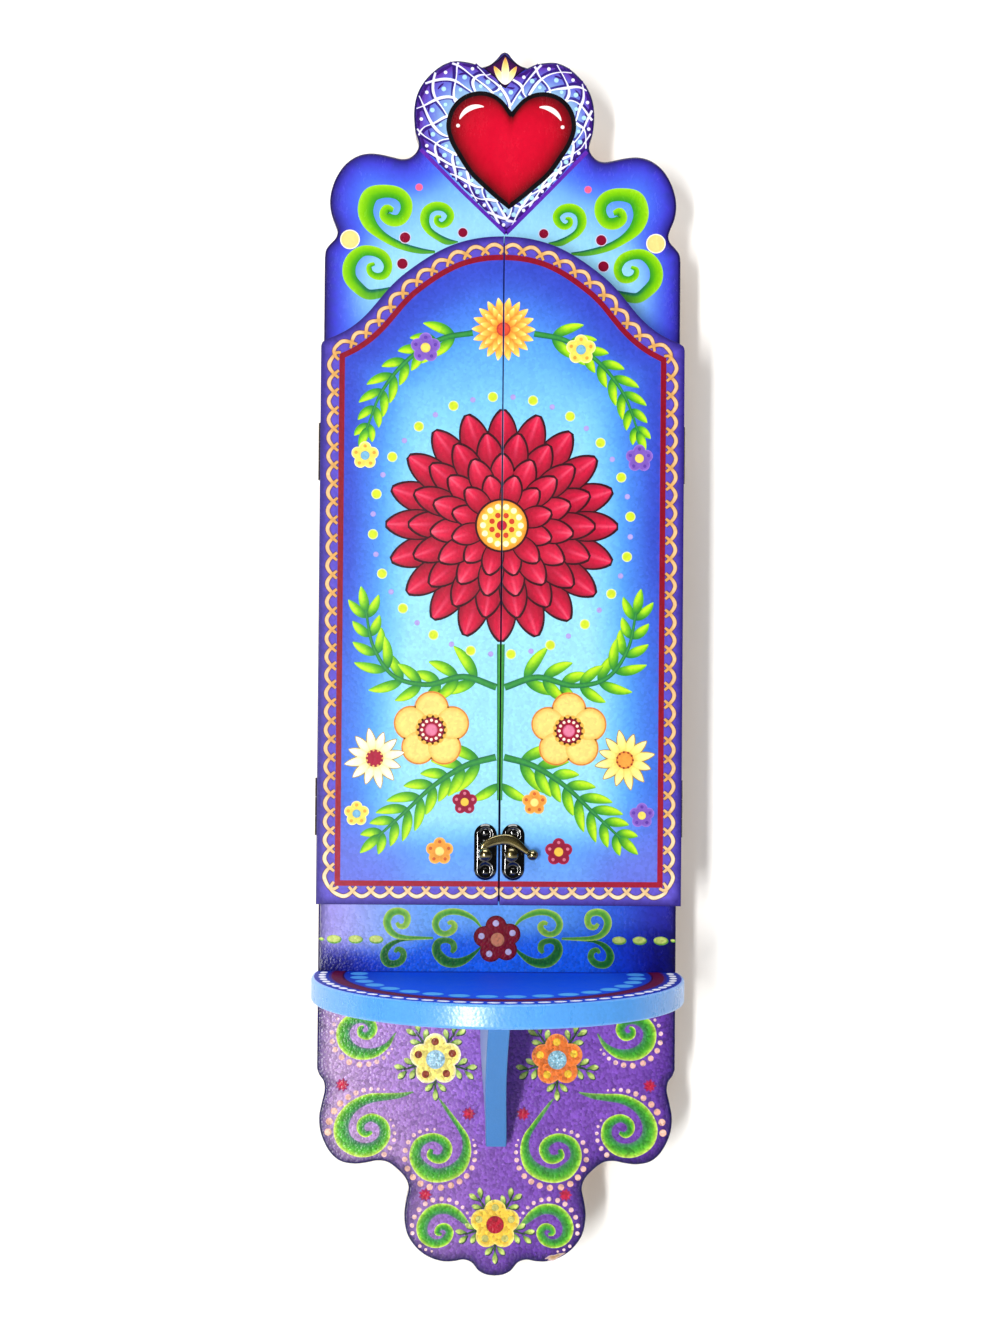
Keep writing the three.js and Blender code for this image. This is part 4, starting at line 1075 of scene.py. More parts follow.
B_OUT_L = [[-40.9, -138.4, 0.33], [-48.8, -139.1, 0.83], [-53.1, -141.1, 1.41], [-55.7, -144.1, 1.82], [-56.2, -147.0, 2.07], [-54.7, -149.9, 1.99],
           [-51.4, -150.6, 1.82], [-48.1, -149.3, 1.74], [-46.5, -146.6, 1.66], [-47.2, -144.1, 1.49], [-49.6, -143.2, 1.24], [-50.8, -144.9, 0.75]]
bandp = Paint()
for fl in (False, True):
    g = flip if fl else (lambda q: q)
    s = 1 if fl else -1
    for pts, st in ((B_IN_U, "band"), (B_IN_L, "band_low"), (B_OUT_L, "band_low"), (B_OUT_U, "band")):
        scroll(bandp, g(pts), st, 1 if st == "band" else 0.5)
    for x, a in ((60.4, 3.6), (70.6, 3.6), (81.2, 3.7), (87.3, 1.2)):
        bandp.dot(s * x + 0.3, -138.6, a, rgb(96, 160, 60), rgb(120, 180, 70), 1.6, n=22, stretch=(1, 0.57))
        bandp.dot(s * x, -138.2, a * 0.93, rgb(178, 208, 84), rgb(214, 232, 120), 2, n=22, stretch=(1, 0.52))
flower(bandp, 0.0, -138.3, 12.0, math.radians(96), rgb(138, 0, 34), rgb(92, 0, 22), rgb(206, 196, 226), 1.6, rgb(222, 138, 98), 3.4, 4)
ob = bandp.make("band_ornament", BOARD_MAT, front_board)
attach(ob, "cabinet")

# skirt
S1 = [[-50.1, -184.7, 0.3], [-54.5, -191.0, 1.4], [-61.4, -194.8, 2.5], [-69.6, -194.4, 3.3], [-75.0, -189.9, 3.5], [-76.0, -183.5, 3.3], [-73.0, -179.1, 3.0],
      [-67.8, -177.4, 2.6], [-63.2, -179.1, 2.4], [-61.4, -183.0, 2.3], [-64.0, -186.2, 2.1], [-67.4, -185.2, 1.7], [-67.6, -182.6, 1.3], [-65.9, -181.6, 0.8]]
S2 = [[-41.1, -213.9, 0.33], [-47.7, -215.6, 1.33], [-54.3, -216.3, 1.82], [-62.7, -217.2, 2.4], [-68.9, -219.9, 2.73], [-73.6, -224.2, 3.15],
      [-76.6, -231.2, 3.73], [-75.0, -237.9, 3.98], [-68.7, -242.2, 3.73], [-62.3, -242.3, 3.4], [-58.0, -240.0, 3.06], [-55.1, -235.6, 2.82],
      [-56.1, -229.6, 2.48], [-61.9, -226.6, 2.07], [-66.5, -229.1, 2.07], [-66.9, -232.8, 1.91], [-64.4, -234.8, 1.66], [-61.4, -233.7, 0.83]]
S3 = [[-28.5, -217.0, 0.25], [-26.6, -219.5, 0.66], [-22.4, -225.4, 1.08], [-18.2, -231.2, 1.33], [-15.4, -235.9, 1.74], [-14.4, -240.9, 2.15],
      [-15.2, -246.0, 2.73], [-18.0, -250.8, 3.4], [-23.0, -253.9, 3.56], [-29.6, -255.1, 3.56], [-34.9, -253.1, 3.81], [-39.1, -248.3, 3.15],
      [-39.9, -244.2, 2.82], [-37.7, -238.9, 2.57], [-31.1, -236.3, 2.15], [-25.6, -238.6, 2.4], [-23.9, -242.1, 2.48], [-25.9, -246.2, 2.48],
      [-29.2, -247.0, 2.24], [-32.5, -245.2, 1.82], [-31.9, -242.1, 1.08]]
S4 = [[-11.7, -281.0, 0.41], [-14.9, -277.9, 1.49], [-18.9, -274.2, 2.32], [-23.6, -271.8, 2.57], [-29.8, -272.2, 2.73], [-34.3, -275.9, 2.82],
      [-36.2, -280.8, 2.82], [-35.1, -285.5, 2.65], [-31.5, -288.3, 2.32], [-27.6, -288.6, 2.15], [-24.1, -286.7, 2.24], [-22.5, -282.9, 1.99],
      [-24.8, -280.4, 1.82], [-27.9, -281.2, 1.57], [-28.7, -283.5, 1.33], [-26.4, -284.2, 0.75]]
skirtp = Paint()
board_closed = closed(BOARD)


def on_board(x, z, r):
    p = np.array([[x, z]])
    return bool(inside(p, BOARD)[0]) and distance(p, board_closed)[0] > r + 1.1


for fl in (False, True):
    g = flip if fl else (lambda q: q)
    for pts, u0, u1, rmax, pk in ((S1, 0.1, 0.6, 1.5, 0.5), (S2, 0.14, 0.78, 1.8, 0.5), (S3, 0.24, 0.78, 1.6, 0.45), (S4, 0.06, 0.66, 1.25, 0.5)):
        path, w_, out = scroll(skirtp, g(pts), "skirt", 1)
        bead_row(skirtp, path, w_, out, u0, u1, 0.55, rmax, 2, on_board, pk)
for x, z in ((-76.3, -210.5), (76.3, -210.5), (-13.5, -224.6), (13.5, -224.6), (-34.8, -264.7), (34.8, -264.7)):
    star(skirtp, x, z, 3.5, 0.5)
for cx, petal, rim, spot, centre in ((-30.2, rgb(242, 220, 108), rgb(248, 238, 190), rgb(134, 50, 24), rgb(158, 200, 216)),
                                     (30.2, rgb(226, 112, 40), rgb(236, 140, 70), rgb(244, 196, 50), rgb(136, 184, 200))):
    for a in (126, 54, 198, -18, 270):
        t = math.radians(a)
        sprig(skirtp, cx + 10.8 * math.cos(t), -197.8 + 10.8 * math.sin(t), t, 1.0, 1.34, 1 if a == 270 else 2)
    flower(skirtp, cx, -197.8, 13.0, math.radians(92), petal, rim, spot, 1.9, centre, 4.7, 4)
    for k in range(26):
        a, q = 2.39996 * k, 0.82 * math.sqrt(k + 0.6)
        skirtp.dot(cx + q * math.cos(a), -197.8 + q * math.sin(a), 0.36, *([centre * 0.84] * 2 if k % 2 else [centre * 0.4 + 150] * 2), 6.6, n=8)
for a in (122, 58, 198, -18, 270):
    t = math.radians(a)
    sprig(skirtp, 10.2 * math.cos(t), -279.4 + 10.2 * math.sin(t), t, 1.0, 1.3, 1 if a == 270 else 2)
flower(skirtp, 0.0, -279.4, 12.4, math.radians(90), rgb(238, 194, 60), rgb(244, 222, 120), rgb(190, 186, 100), 1.8, rgb(170, 6, 40), 4.4, 4)
# a knock at the lower edge, where bare primer shows
a = np.arange(26) / 26 * 2 * math.pi
r = 1 + 0.22 * np.sin(3 * a + 0.6) + 0.13 * np.sin(7 * a)
knock = np.stack([29.6 + 4.6 * r * np.cos(a) * 0.95, -295.2 + 1.3 * r * np.sin(a) + 0.28 * (4.6 * r * np.cos(a))], 1)
skirtp.rings(knock, knock.mean(0), [(1, rgb(186, 150, 178)), (0.78, rgb(196, 172, 150)), (0.4, rgb(176, 140, 104)), (0, rgb(166, 128, 92))], 3)
ob = skirtp.make("skirt_ornament", BOARD_MAT, front_board)
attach(ob, "cabinet")

# ------------------------------------------------------------- door decoration
border = Paint()
k0, k1 = inset_curve(PAIR, 9.0), inset_curve(PAIR, 11.7)
# the keyline is painted lighter towards the bottom as painted sheen
border.area(k0, [k1], lambda v: lerp(rgb(128, 0, 30), rgb(150, 14, 44), smooth(0, -118, v[:, 1])), 3)
foot = resample(closed(k0), 0.5)[:-1]
fs = along(closed(foot))
nrm = miter(foot)
nrm /= np.linalg.norm(nrm, axis=1)[:, None]
kern = np.hanning(15)
kern /= kern.sum()
nrm = np.stack([np.convolve(np.concatenate([nrm[-7:, k], nrm[:, k], nrm[:7, k]]), kern, "valid") for k in range(2)], 1)
nrm /= np.linalg.norm(nrm, axis=1)[:, None]
fc, fn = closed(foot), closed(nrm)
count = int(round(fs[-1] / 8.9))
pitch = fs[-1] / count
start = fs[np.argmin(np.abs(foot[:, 0]) + (foot[:, 1] > 0) * 999)]
for k in range(count):
    q = np.linspace(-0.71, 0.71, 25)
    at = (start + (k + 0.5) * pitch + q * pitch) % fs[-1]
    h = 5.0 * np.cos(math.pi / 2 * q / 0.74) ** 1.02
    base = np.stack([np.interp(at, fs, fc[:, j]) for j in range(2)], 1)
    nn = np.stack([np.interp(at, fs, fn[:, j]) for j in range(2)], 1)
    p = base + nn * h[:, None]
    thick = 0.6 + 0.33 * np.cos(math.pi / 2 * q / 0.75)
    border.ribbon(p, thick + 0.36, lambda u, t: np.broadcast_to(rgb(74, 40, 92), (*u.shape, 3)), 1 + 0.3 * (k % 2), cols=3)
    # the scallops are painted paler towards the bottom as painted sheen
    pale = float(smooth(-50.0, -112.0, p[:, 1].mean()))
    crown, foot, rim = (lerp(a, b, pale) for a, b in ((rgb(226, 184, 130), rgb(240, 218, 176)), (rgb(206, 154, 84), rgb(228, 192, 138)), (rgb(168, 112, 62), rgb(192, 148, 100))))
    border.ribbon(p, thick, lambda u, t: lerp(lerp(crown, foot, smooth(0.36, 0.2, np.minimum(u, 1 - u))), rim, smooth(0.5, 1.0, np.abs(t)) * 0.35), 2 + 0.4 * (k % 2), cols=5)

bloom = Paint()


def rose_petal(paint, cx, cz, ang, r0, r1, w, lvl, stops, dark):
    u = np.linspace(0, 1, 17)
    prof = np.sin(math.pi * np.clip(0.12 + 0.88 * u, 0, 0.992) ** 1.35) ** 0.62
    path = np.stack([cx + (r0 + (r1 - r0) * u) * math.cos(ang), cz + (r0 + (r1 - r0) * u) * math.sin(ang)], 1)
    big = np.stack([cx + (r0 + (r1 + 0.9 - r0) * u) * math.cos(ang), cz + (r0 + (r1 + 0.9 - r0) * u) * math.sin(ang)], 1)
    paint.ribbon(big, w * prof + 0.75, lambda a, t: np.broadcast_to(dark, (*a.shape, 3)), lvl, cols=3)

    def col(a, t):
        c = ramp(stops, a)
        c = lerp(c, stops[0][1], smooth(0.45, 1.0, np.abs(t)) * 0.45)
        return lerp(c, rgb(238, 120, 140), smooth(0.10, 0.0, np.abs(t)) * smooth(0.45, 0.9, a) * 0.5)

    paint.ribbon(path, w * prof, col, lvl + 0.35, cols=9)


DX, DZ = 0.0, 66.0
reds = [(0, rgb(84, 6, 24)), (0.4, rgb(146, 8, 40)), (0.8, rgb(196, 14, 56)), (1, rgb(214, 40, 78))]
reds2 = [(0, rgb(104, 6, 28)), (0.5, rgb(176, 12, 48)), (0.85, rgb(214, 32, 70)), (1, rgb(230, 84, 108))]
lv = 4.0
for n, r0, r1, w, ph, st in ((20, 24, 56, 6.9, 0.0, reds), (18, 18, 45, 6.2, 0.5, reds), (15, 12, 34.5, 5.6, 0.0, reds2), (12, 7, 24.5, 4.8, 0.5, reds2)):
    for k in range(n):
        rose_petal(bloom, DX, DZ, math.pi / 2 + (k + ph) * 2 * math.pi / n, r0, r1, w, lv + 0.7 * (k % 2), st, rgb(46, 2, 18))
    lv += 1.8
bloom.dot(DX, DZ, 13.2, rgb(46, 2, 18), rgb(60, 4, 20), lv, n=44)
bloom.dot(DX, DZ, 12.2, rgb(214, 128, 34), rgb(248, 196, 70), lv + 0.5, n=44)
for k in range(14):
    t = 2 * math.pi * k / 14
    bloom.dot(DX + 9.2 * math.cos(t), DZ + 9.2 * math.sin(t), 1.5, rgb(240, 232, 160), rgb(252, 246, 190), lv + 1.0, n=14)
for k in range(8):
    t = 2 * math.pi * (k + 0.5) / 8
    bloom.dot(DX + 5.2 * math.cos(t), DZ + 5.2 * math.sin(t), 1.35, rgb(170, 40, 30), rgb(196, 60, 34), lv + 1.0, n=14)
bloom.dot(DX, DZ, 2.5, rgb(150, 12, 40), rgb(184, 20, 52), lv + 1.0, n=20)
# ring of dots round the bloom
for k in range(40):
    t = math.pi / 2 + 2 * math.pi * (k + 0.5) / 40
    x, z = DX + 63.0 * math.cos(t), DZ + 63.0 * math.sin(t)
    if k % 2 == 0:
        bloom.dot(x, z, 2.5, rgb(222, 230, 170), rgb(196, 214, 40), 3, n=20)
    else:
        bloom.dot(x, z, 1.35, rgb(150, 140, 214), rgb(164, 150, 214), 3, n=14)


def branch(paint, pts, pairs, ln, w, lvl, stem=0.9, u0=0.12, u1=0.96, tilt=0.72, tip=True):
    path = resample(spline(pts, 10), 1.2)
    s = along(path)
    u = s / s[-1]
    tg = tangents(path)
    for k in range(pairs):
        q = u0 + (u1 - u0) * k / max(pairs - 1, 1)
        x, z = np.interp(q, u, path[:, 0]), np.interp(q, u, path[:, 1])
        a = math.atan2(np.interp(q, u, tg[:, 1]), np.interp(q, u, tg[:, 0]))
        size = ln * (1.0 - 0.3 * q) * (0.86 + 0.14 * math.sin(5 * k + 1))
        for sg in (-1, 1):
            leaf(paint, (x, z), a + sg * tilt, size, w * (0.8 + 0.2 * (1 - q)), lvl + 0.2 * (k % 2) + 0.1 * (sg > 0), bend=-sg * 0.45)
    a = math.atan2(tg[-1, 1], tg[-1, 0])
    if tip:
        leaf(paint, path[-2], a, ln * 0.62, w * 0.85, lvl + 0.42)
    paint.ribbon(path, stem * (1.15 - 0.75 * u), lambda a, t: ramp([(-1, rgb(20, 96, 60)), (0, rgb(56, 146, 60)), (1, rgb(30, 110, 58))], t), lvl + 0.5, cols=5)


# stem and branches, mirrored on both doors
bloom.ribbon(resample(np.array([[0.0, 8.0], [0.0, -68.0]]), 3.0), np.interp(np.arange(26), [0, 25], [1.9, 1.3]),
             lambda a, t: ramp([(-1, rgb(24, 100, 56)), (0, rgb(84, 176, 62)), (1, rgb(24, 100, 56))], t), 3.2, cols=5)
for s in (-1, 1):
    m = lambda pts: [[s * x, z] for x, z in pts]
    leaf(bloom, (s * 0.6, -60.0), -math.pi / 2 + s * 0.95, 16.0, 2.5, 1.6, bend=s * 0.5)
    branch(bloom, m([[2, -13], [18, -8], [36, -12], [52, -8], [62, 6], [66, 24]]), 9, 21.0, 2.9, 1.5, stem=1.5)
    branch(bloom, m([[2, -47], [16, -51], [32, -61], [46, -74], [59, -86]]), 8, 21.0, 2.9, 1.5, stem=1.5)
    # garland under the arch
    branch(bloom, m([[15, 160], [30, 157], [46, 147], [59, 131], [66.5, 112]]), 8, 17.5, 2.6, 1.5, stem=1.3, tilt=0.62)
    lilac, sun, rose, amber = ((rgb(120, 84, 184), rgb(148, 112, 202), rgb(90, 56, 160), rgb(238, 206, 92)),
                               (rgb(236, 212, 90), rgb(244, 232, 170), rgb(216, 158, 56), rgb(110, 170, 206)),
                               (rgb(138, 6, 48), rgb(164, 24, 68), rgb(206, 110, 134), rgb(238, 186, 66)),
                               (rgb(228, 150, 56), rgb(238, 192, 106), rgb(194, 86, 38), rgb(244, 214, 120)))
    a_, b_, c_, d_ = (lilac, sun, rose, amber) if s < 0 else (sun, lilac, amber, rose)
    flower(bloom, s * 38, 152.5, 7.4, math.radians(90), *a_[:3], 0.85, a_[3], 2.4, 4)
    flower(bloom, s * 67.0, 99.5, 6.8, math.radians(90), *b_[:3], 0.8, b_[3], 2.2, 4)
    for k in range(5):
        a = math.radians(90 + 72 * k)
        px, pz = s * 33.5 + 10.4 * math.cos(a), -34.0 + 10.4 * math.sin(a)
        bloom.dot(px, pz, 8.5, rgb(206, 126, 50), rgb(206, 126, 50), 4.0, n=34)
        bloom.dot(px, pz, 7.7, rgb(232, 178, 84), rgb(240, 206, 116), 4.6 + 0.1 * k, n=34)
    for k in range(15):
        a = 2 * math.pi * k / 15
        bloom.dot(s * 33.5 + 5.9 * math.cos(a), -34.0 + 5.9 * math.sin(a), 2.0, rgb(228, 170, 70), rgb(228, 170, 70), 5.4, n=14)
    bloom.dot(s * 33.5, -34.0, 6.2, rgb(110, 2, 34), rgb(150, 4, 44), 5.8, n=34)
    for k in range(12):
        a = 2 * math.pi * k / 12
        bloom.dot(s * 33.5 + 4.7 * math.cos(a), -34.0 + 4.7 * math.sin(a), 0.75, rgb(240, 214, 190), rgb(246, 226, 206), 6.4, n=12)
    bloom.dot(s * 33.5, -34.0, 3.0, rgb(190, 70, 110), rgb(216, 120, 150), 6.4, n=24)
    flower(bloom, s * 17.0, -69.0, 6.2, math.radians(90), *c_[:3], 0.8, c_[3], 2.0, 4)
    flower(bloom, s * 69.5, -75.0, 6.2, math.radians(90), *b_[:3], 0.8, b_[3], 2.0, 4)
    flower(bloom, s * 29.0, -93.0, 6.8, math.radians(90), *d_[:3], 0.8, d_[3], 2.2, 4)
    # daisy
    cx, cz, r = s * 61.0, -48.0, 15.0
    tone = [(0, rgb(232, 200, 96)), (0.35, rgb(244, 236, 190)), (1, rgb(248, 248, 240))] if s < 0 else [(0, rgb(226, 176, 70)), (0.35, rgb(242, 222, 120)), (1, rgb(248, 240, 172))]
    for k in range(12):
        a = 2 * math.pi * k / 12 + 0.2
        ln = (r - 2.2) * (1.0 - 0.06 * (k % 3))
        leaf(bloom, (cx + 2.2 * math.cos(a), cz + 2.2 * math.sin(a)), a, ln, 2.5, 4 + 0.3 * (k % 2), stops=[(0, tone[0][1] * 0.55), (1, tone[0][1] * 0.8)], plain=True)
        leaf(bloom, (cx + 2.2 * math.cos(a), cz + 2.2 * math.sin(a)), a, ln - 0.5, 2.1, 4.7 + 0.3 * (k % 2), stops=tone, plain=True)
    mid = (rgb(120, 4, 36), rgb(158, 10, 50)) if s < 0 else (rgb(196, 96, 36), rgb(228, 150, 60))
    bloom.dot(cx, cz, 4.3, *mid, 5.6, n=24)
    for k in range(11):
        a = 2 * math.pi * k / 11
        bloom.dot(cx + 3.9 * math.cos(a), cz + 3.9 * math.sin(a), 0.55, *((rgb(236, 176, 96),) * 2 if s < 0 else (rgb(140, 40, 24),) * 2), 6.2, n=8)
# marigold at the head of the arch
for n, r0, r1, w, ph, lv2 in ((18, 6, 15.5, 2.3, 0, 5.0), (14, 4, 11.5, 2.1, 0.5, 5.8), (10, 2, 7.8, 1.8, 0, 6.6)):
    for k in range(n):
        a = (k + ph) * 2 * math.pi / n
        leaf(bloom, (r0 * 0.5 * math.cos(a), 162.0 + r0 * 0.5 * math.sin(a)), a, r1 - r0 * 0.5, w, lv2 + 0.3 * (k % 2),
             stops=[(0, rgb(196, 84, 30)), (0.5, rgb(236, 150, 50)), (0.85, rgb(248, 208, 92)), (1, rgb(252, 240, 176))], plain=True)
bloom.dot(0, 162.0, 3.4, rgb(170, 40, 40), rgb(206, 70, 44), 7.6, n=22)

for s, word in ((-1, "left"), (1, "right")):
    limit = SEAM
    ob = border.clip(s, limit).make(f"{word}_door_border", DOOR_MAT, front_door)
    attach(ob, f"{word}_door")
    ob = bloom.clip(s, limit).make(f"{word}_door_flowers", DOOR_MAT, front_door)
    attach(ob, f"{word}_door")

# ------------------------------------------------------------- shelf and bracket
reach = math.acos((SHELF_CY - SHELF_BACK) / SHELF_R)
arc = np.linspace(-reach, reach, 121)
shelf_xy = np.stack([SHELF_R * np.sin(arc), SHELF_CY - SHELF_R * np.cos(arc)], 1)
b = Build()
loop = shelf_xy
m = miter(np.vstack([loop]))
top_c, edge_c, under_c = rgb(24, 84, 226), rgb(80, 156, 234), rgb(64, 122, 206)
rr = 1.3
profile = [(rr + 0.5, SHELF_TOP, 0)]
for k in range(5):
    a = math.radians(22.5 * k)
    profile.append((rr * (1 - math.sin(a)), SHELF_TOP - rr * (1 - math.cos(a)), 0 if k == 0 else 1))
profile += [(0, SHELF_TOP - rr - 0.4, 1), (0, SHELF_TOP - SHELF_T + rr + 0.4, 1)]
for k in range(4, -1, -1):
    a = math.radians(22.5 * k)
    profile.append((rr * (1 - math.sin(a)), SHELF_TOP - SHELF_T + rr * (1 - math.cos(a)), 1 if k else 2))
profile.append((rr + 0.5, SHELF_TOP - SHELF_T, 2))
shelf_cols = {0: top_c, 1: edge_c, 2: under_c}


def shelf_ring(d):
    p = loop - d * m
    p[:, 1] = np.minimum(p[:, 1], SHELF_BACK - d * 0.15)
    return p


flat = lambda p, z: np.stack([p[:, 0], p[:, 1], np.full(len(p), z)], 1)
made = []
for d, z, t in profile:
    p = shelf_ring(d)
    made.append((flat(p, z), np.broadcast_to(shelf_cols[t], (len(p), 3)), p + m * max(SHELF_TOP - z, 0) * 1.0))
for k in range(len(made) - 1):
    p, q = made[k], made[k + 1]
    b.add(*(ring_quads(p[j], q[j]) for j in range(3)))


def shelf_top_col(v):
    r = np.hypot(v[:, 0], v[:, 1] - SHELF_CY)
    return lerp(rgb(22, 90, 238), rgb(20, 66, 196), smooth(60, 90, r))


v, t = fill(shelf_ring(profile[0][0]), grid=5.0)
b.add(np.stack([v[:, 0], v[:, 1], np.full(len(v), SHELF_TOP)], 1)[t], shelf_top_col(v)[t], v[t])
v, t = fill(shelf_ring(profile[-1][0]), grid=8.0)
t = t[:, ::-1]
b.add(np.stack([v[:, 0], v[:, 1], np.full(len(v), SHELF_TOP - SHELF_T)], 1)[t], np.broadcast_to(under_c, (*t.shape, 3)), (v * [-1, 1] + [220, 0])[t])
shelf = b.make("round_shelf", SHELF_MAT, uv=True)
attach(shelf, "cabinet")
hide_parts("shelf")

deck = Paint()


def arc_band(r0, r1, col, lvl, a0=None, a1=None, cols=3, n=90):
    lim = math.acos(np.clip((SHELF_CY - SHELF_BACK + 0.6) / ((r0 + r1) / 2), -1, 1)) - 0.004
    a = np.linspace(-lim if a0 is None else a0, lim if a1 is None else a1, n)
    rad = np.linspace(r0, r1, cols)
    g = np.stack([np.sin(a)[:, None] * rad, SHELF_CY - np.cos(a)[:, None] * rad], -1)
    g[..., 1] = np.minimum(g[..., 1], SHELF_BACK - 0.4)
    deck.sheet(g, np.broadcast_to(col, (*g.shape[:2], 3)), lvl)


def deck_col(v):
    r = np.hypot(v[:, 0], v[:, 1] - SHELF_CY)
    c = lerp(rgb(14, 84, 236), rgb(12, 60, 204), smooth(62, 88, r))
    return lerp(c, rgb(8, 30, 146), smooth(48, 86, np.abs(v[:, 0])) * 0.7)


v, t = fill(shelf_ring(1.35), grid=5.0)
deck.patch(v, t, deck_col(v), 0)
arc_band(75.4, 81.4, rgb(96, 4, 50), 1)
arc_band(81.6, 82.5, rgb(56, 26, 120), 1)
arc_band(74.9, 75.8, rgb(56, 26, 120), 1)
lim = math.acos((SHELF_CY - SHELF_BACK) / 85.0) - 0.03
n = int(2 * lim * 85.0 / 7.4)
for k in range(n):
    a = -lim + 2 * lim * (k + 0.5) / n
    deck.dot(85.7 * math.sin(a), SHELF_CY - 85.7 * math.cos(a), 3.1, rgb(222, 226, 246), rgb(240, 242, 250), 2, n=18, stretch=(1, 0.6), turn=a)
lim = math.acos((SHELF_CY - SHELF_BACK) / 67.0) - 0.05
n = int(2 * lim * 67.0 / 12.4)
for k in range(n):
    a = -lim + 2 * lim * (k + 0.5) / n
    deck.dot(68.0 * math.sin(a), SHELF_CY - 68.0 * math.cos(a), 5.2, rgb(58, 142, 238), rgb(86, 172, 246), 2, n=24, stretch=(1, 0.86), turn=a)
ob = deck.make("shelf_top_ornament", DECK_MAT, lambda v, h: np.stack([v[:, 0], v[:, 1], np.full(len(v), SHELF_TOP + h)], 1))
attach(ob, "cabinet")

# bracket: a tapered fin, its arrises eased
prof = np.array([[SHELF_BACK, BRACKET_TOP], [-12 - 66.0, BRACKET_TOP], [-12 - 8.0, BRACKET_BOTTOM], [SHELF_BACK, BRACKET_BOTTOM]])
lp = np.vstack([resample(np.vstack([prof[k], prof[(k + 1) % 4]]), 4.0)[:-1] for k in range(4)])
area2 = (lp[:, 0] * np.roll(lp[:, 1], -1) - np.roll(lp[:, 0], -1) * lp[:, 1]).sum()
if area2 < 0:
    lp = lp[::-1]
mm = miter(lp)
b = Build()
rb = 0.7
rows = [(rb + 0.4, -BRACKET_HALF)]
for k in range(4):
    a = math.radians(30 * k)
    rows.append((rb * (1 - math.sin(a)), -BRACKET_HALF + rb * (1 - math.cos(a))))
rows += [(0, -BRACKET_HALF + rb + 0.3), (0, BRACKET_HALF - rb - 0.3)]
rows += [(d, -x) for d, x in rows[4::-1]]
fin = lambda p, x: np.stack([x - 3.2 * (1 - np.clip((SHELF_BACK - p[:, 0]) / 66.0, 0, 1)) * smooth(BRACKET_BOTTOM, -180.0, p[:, 1]), p[:, 0], p[:, 1]], 1)
side_c = rgb(54, 118, 184)
made = []
for d, x in rows:
    p = lp - d * mm
    made.append((fin(p, x), np.broadcast_to(side_c, (len(p), 3)), p + mm * (x + BRACKET_HALF)))
for k in range(len(made) - 1):
    p, q = made[k], made[k + 1]
    b.add(*(ring_quads(p[j], q[j])[:, ::-1] for j in range(3)))
# the left face is painted paler than the rest: painted sheen from the light at the left
for sgn, row in ((-1, rows[0]), (1, rows[-1])):
    v, t = fill(lp - row[0] * mm, grid=5.0)
    t = t[:, ::-1] if sgn < 0 else t
    b.add(fin(v, row[1])[t], np.broadcast_to(rgb(136, 168, 216) if sgn < 0 else side_c, (*t.shape, 3)), (v * [sgn, 1])[t] + [90 if sgn < 0 else 0, 0])
bracket = outward(b.make("tapered_bracket", BRACKET_MAT, uv=True))
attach(bracket, "cabinet")
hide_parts("shelf_bracket")


# -------------------------------------------------------------------- the latch
def obround(cx, cz, hw, hh, n=44, m=46):
    """Round-ended outline; every size has its points in the same order."""
    reach = PLATE_HH - PLATE_HW
    a = math.pi * np.arange(n) / n
    rise = reach - 2 * reach * np.arange(m) / m
    arc = np.stack([hw * np.cos(a), hw * np.sin(a)], 1)
    return np.vstack([arc + [cx, cz + reach], np.stack([np.full(m, cx - hw), cz + rise], 1),
                      [cx, cz - reach] - arc, np.stack([np.full(m, cx + hw), cz - rise], 1)])


for s, word in ((-1, "left"), (1, "right")):
    cx = s * PLATE_X
    post = PIVOT if s < 0 else STUD
    outl = obround(cx, PLATE_Z, PLATE_HW, PLATE_HH)

    def height(p):
        d = distance(p, closed(outl))
        h = 1.25 - 0.8 * (1 - np.clip(d / 2.1, 0, 1)) ** 2
        for dz in (8.7, -8.7):
            r = np.hypot((p[:, 0] - cx) * 1.04, p[:, 1] - PLATE_Z - dz)
            h = h - 0.6 * smooth(4.1, 2.3, r)
        r = np.hypot(p[:, 0] - post[0], p[:, 1] - post[1])
        h = np.maximum(h, 1.38 * smooth(4.7, 3.3, r))
        return np.clip(h, 0.3, 1.38)

    b = Build()
    inset = np.concatenate([np.linspace(0, 2.4, 19), np.linspace(2.57, PLATE_HW, 18)])
    loops = [obround(cx, PLATE_Z, PLATE_HW - d, PLATE_HH - d) for d in inset]
    tops = [lift(lp, PLATE_BACK - height(lp)) for lp in loops]
    for p, q in zip(tops[:-1], tops[1:]):
        b.add(ring_quads(p, q), rgb(80, 70, 50))
    v, t = fill(outl, grid=1.2)
    b.add(lift(v, PLATE_BACK)[t], rgb(80, 70, 50))
    b.add(ring_quads(lift(outl, PLATE_BACK), tops[0]), rgb(80, 70, 50))
    ob = outward(b.make(f"catch_plate_{word}", BRONZE_MAT, angle=60))
    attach(ob, f"{word}_door")
    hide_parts(f"latch_plate_{word}")


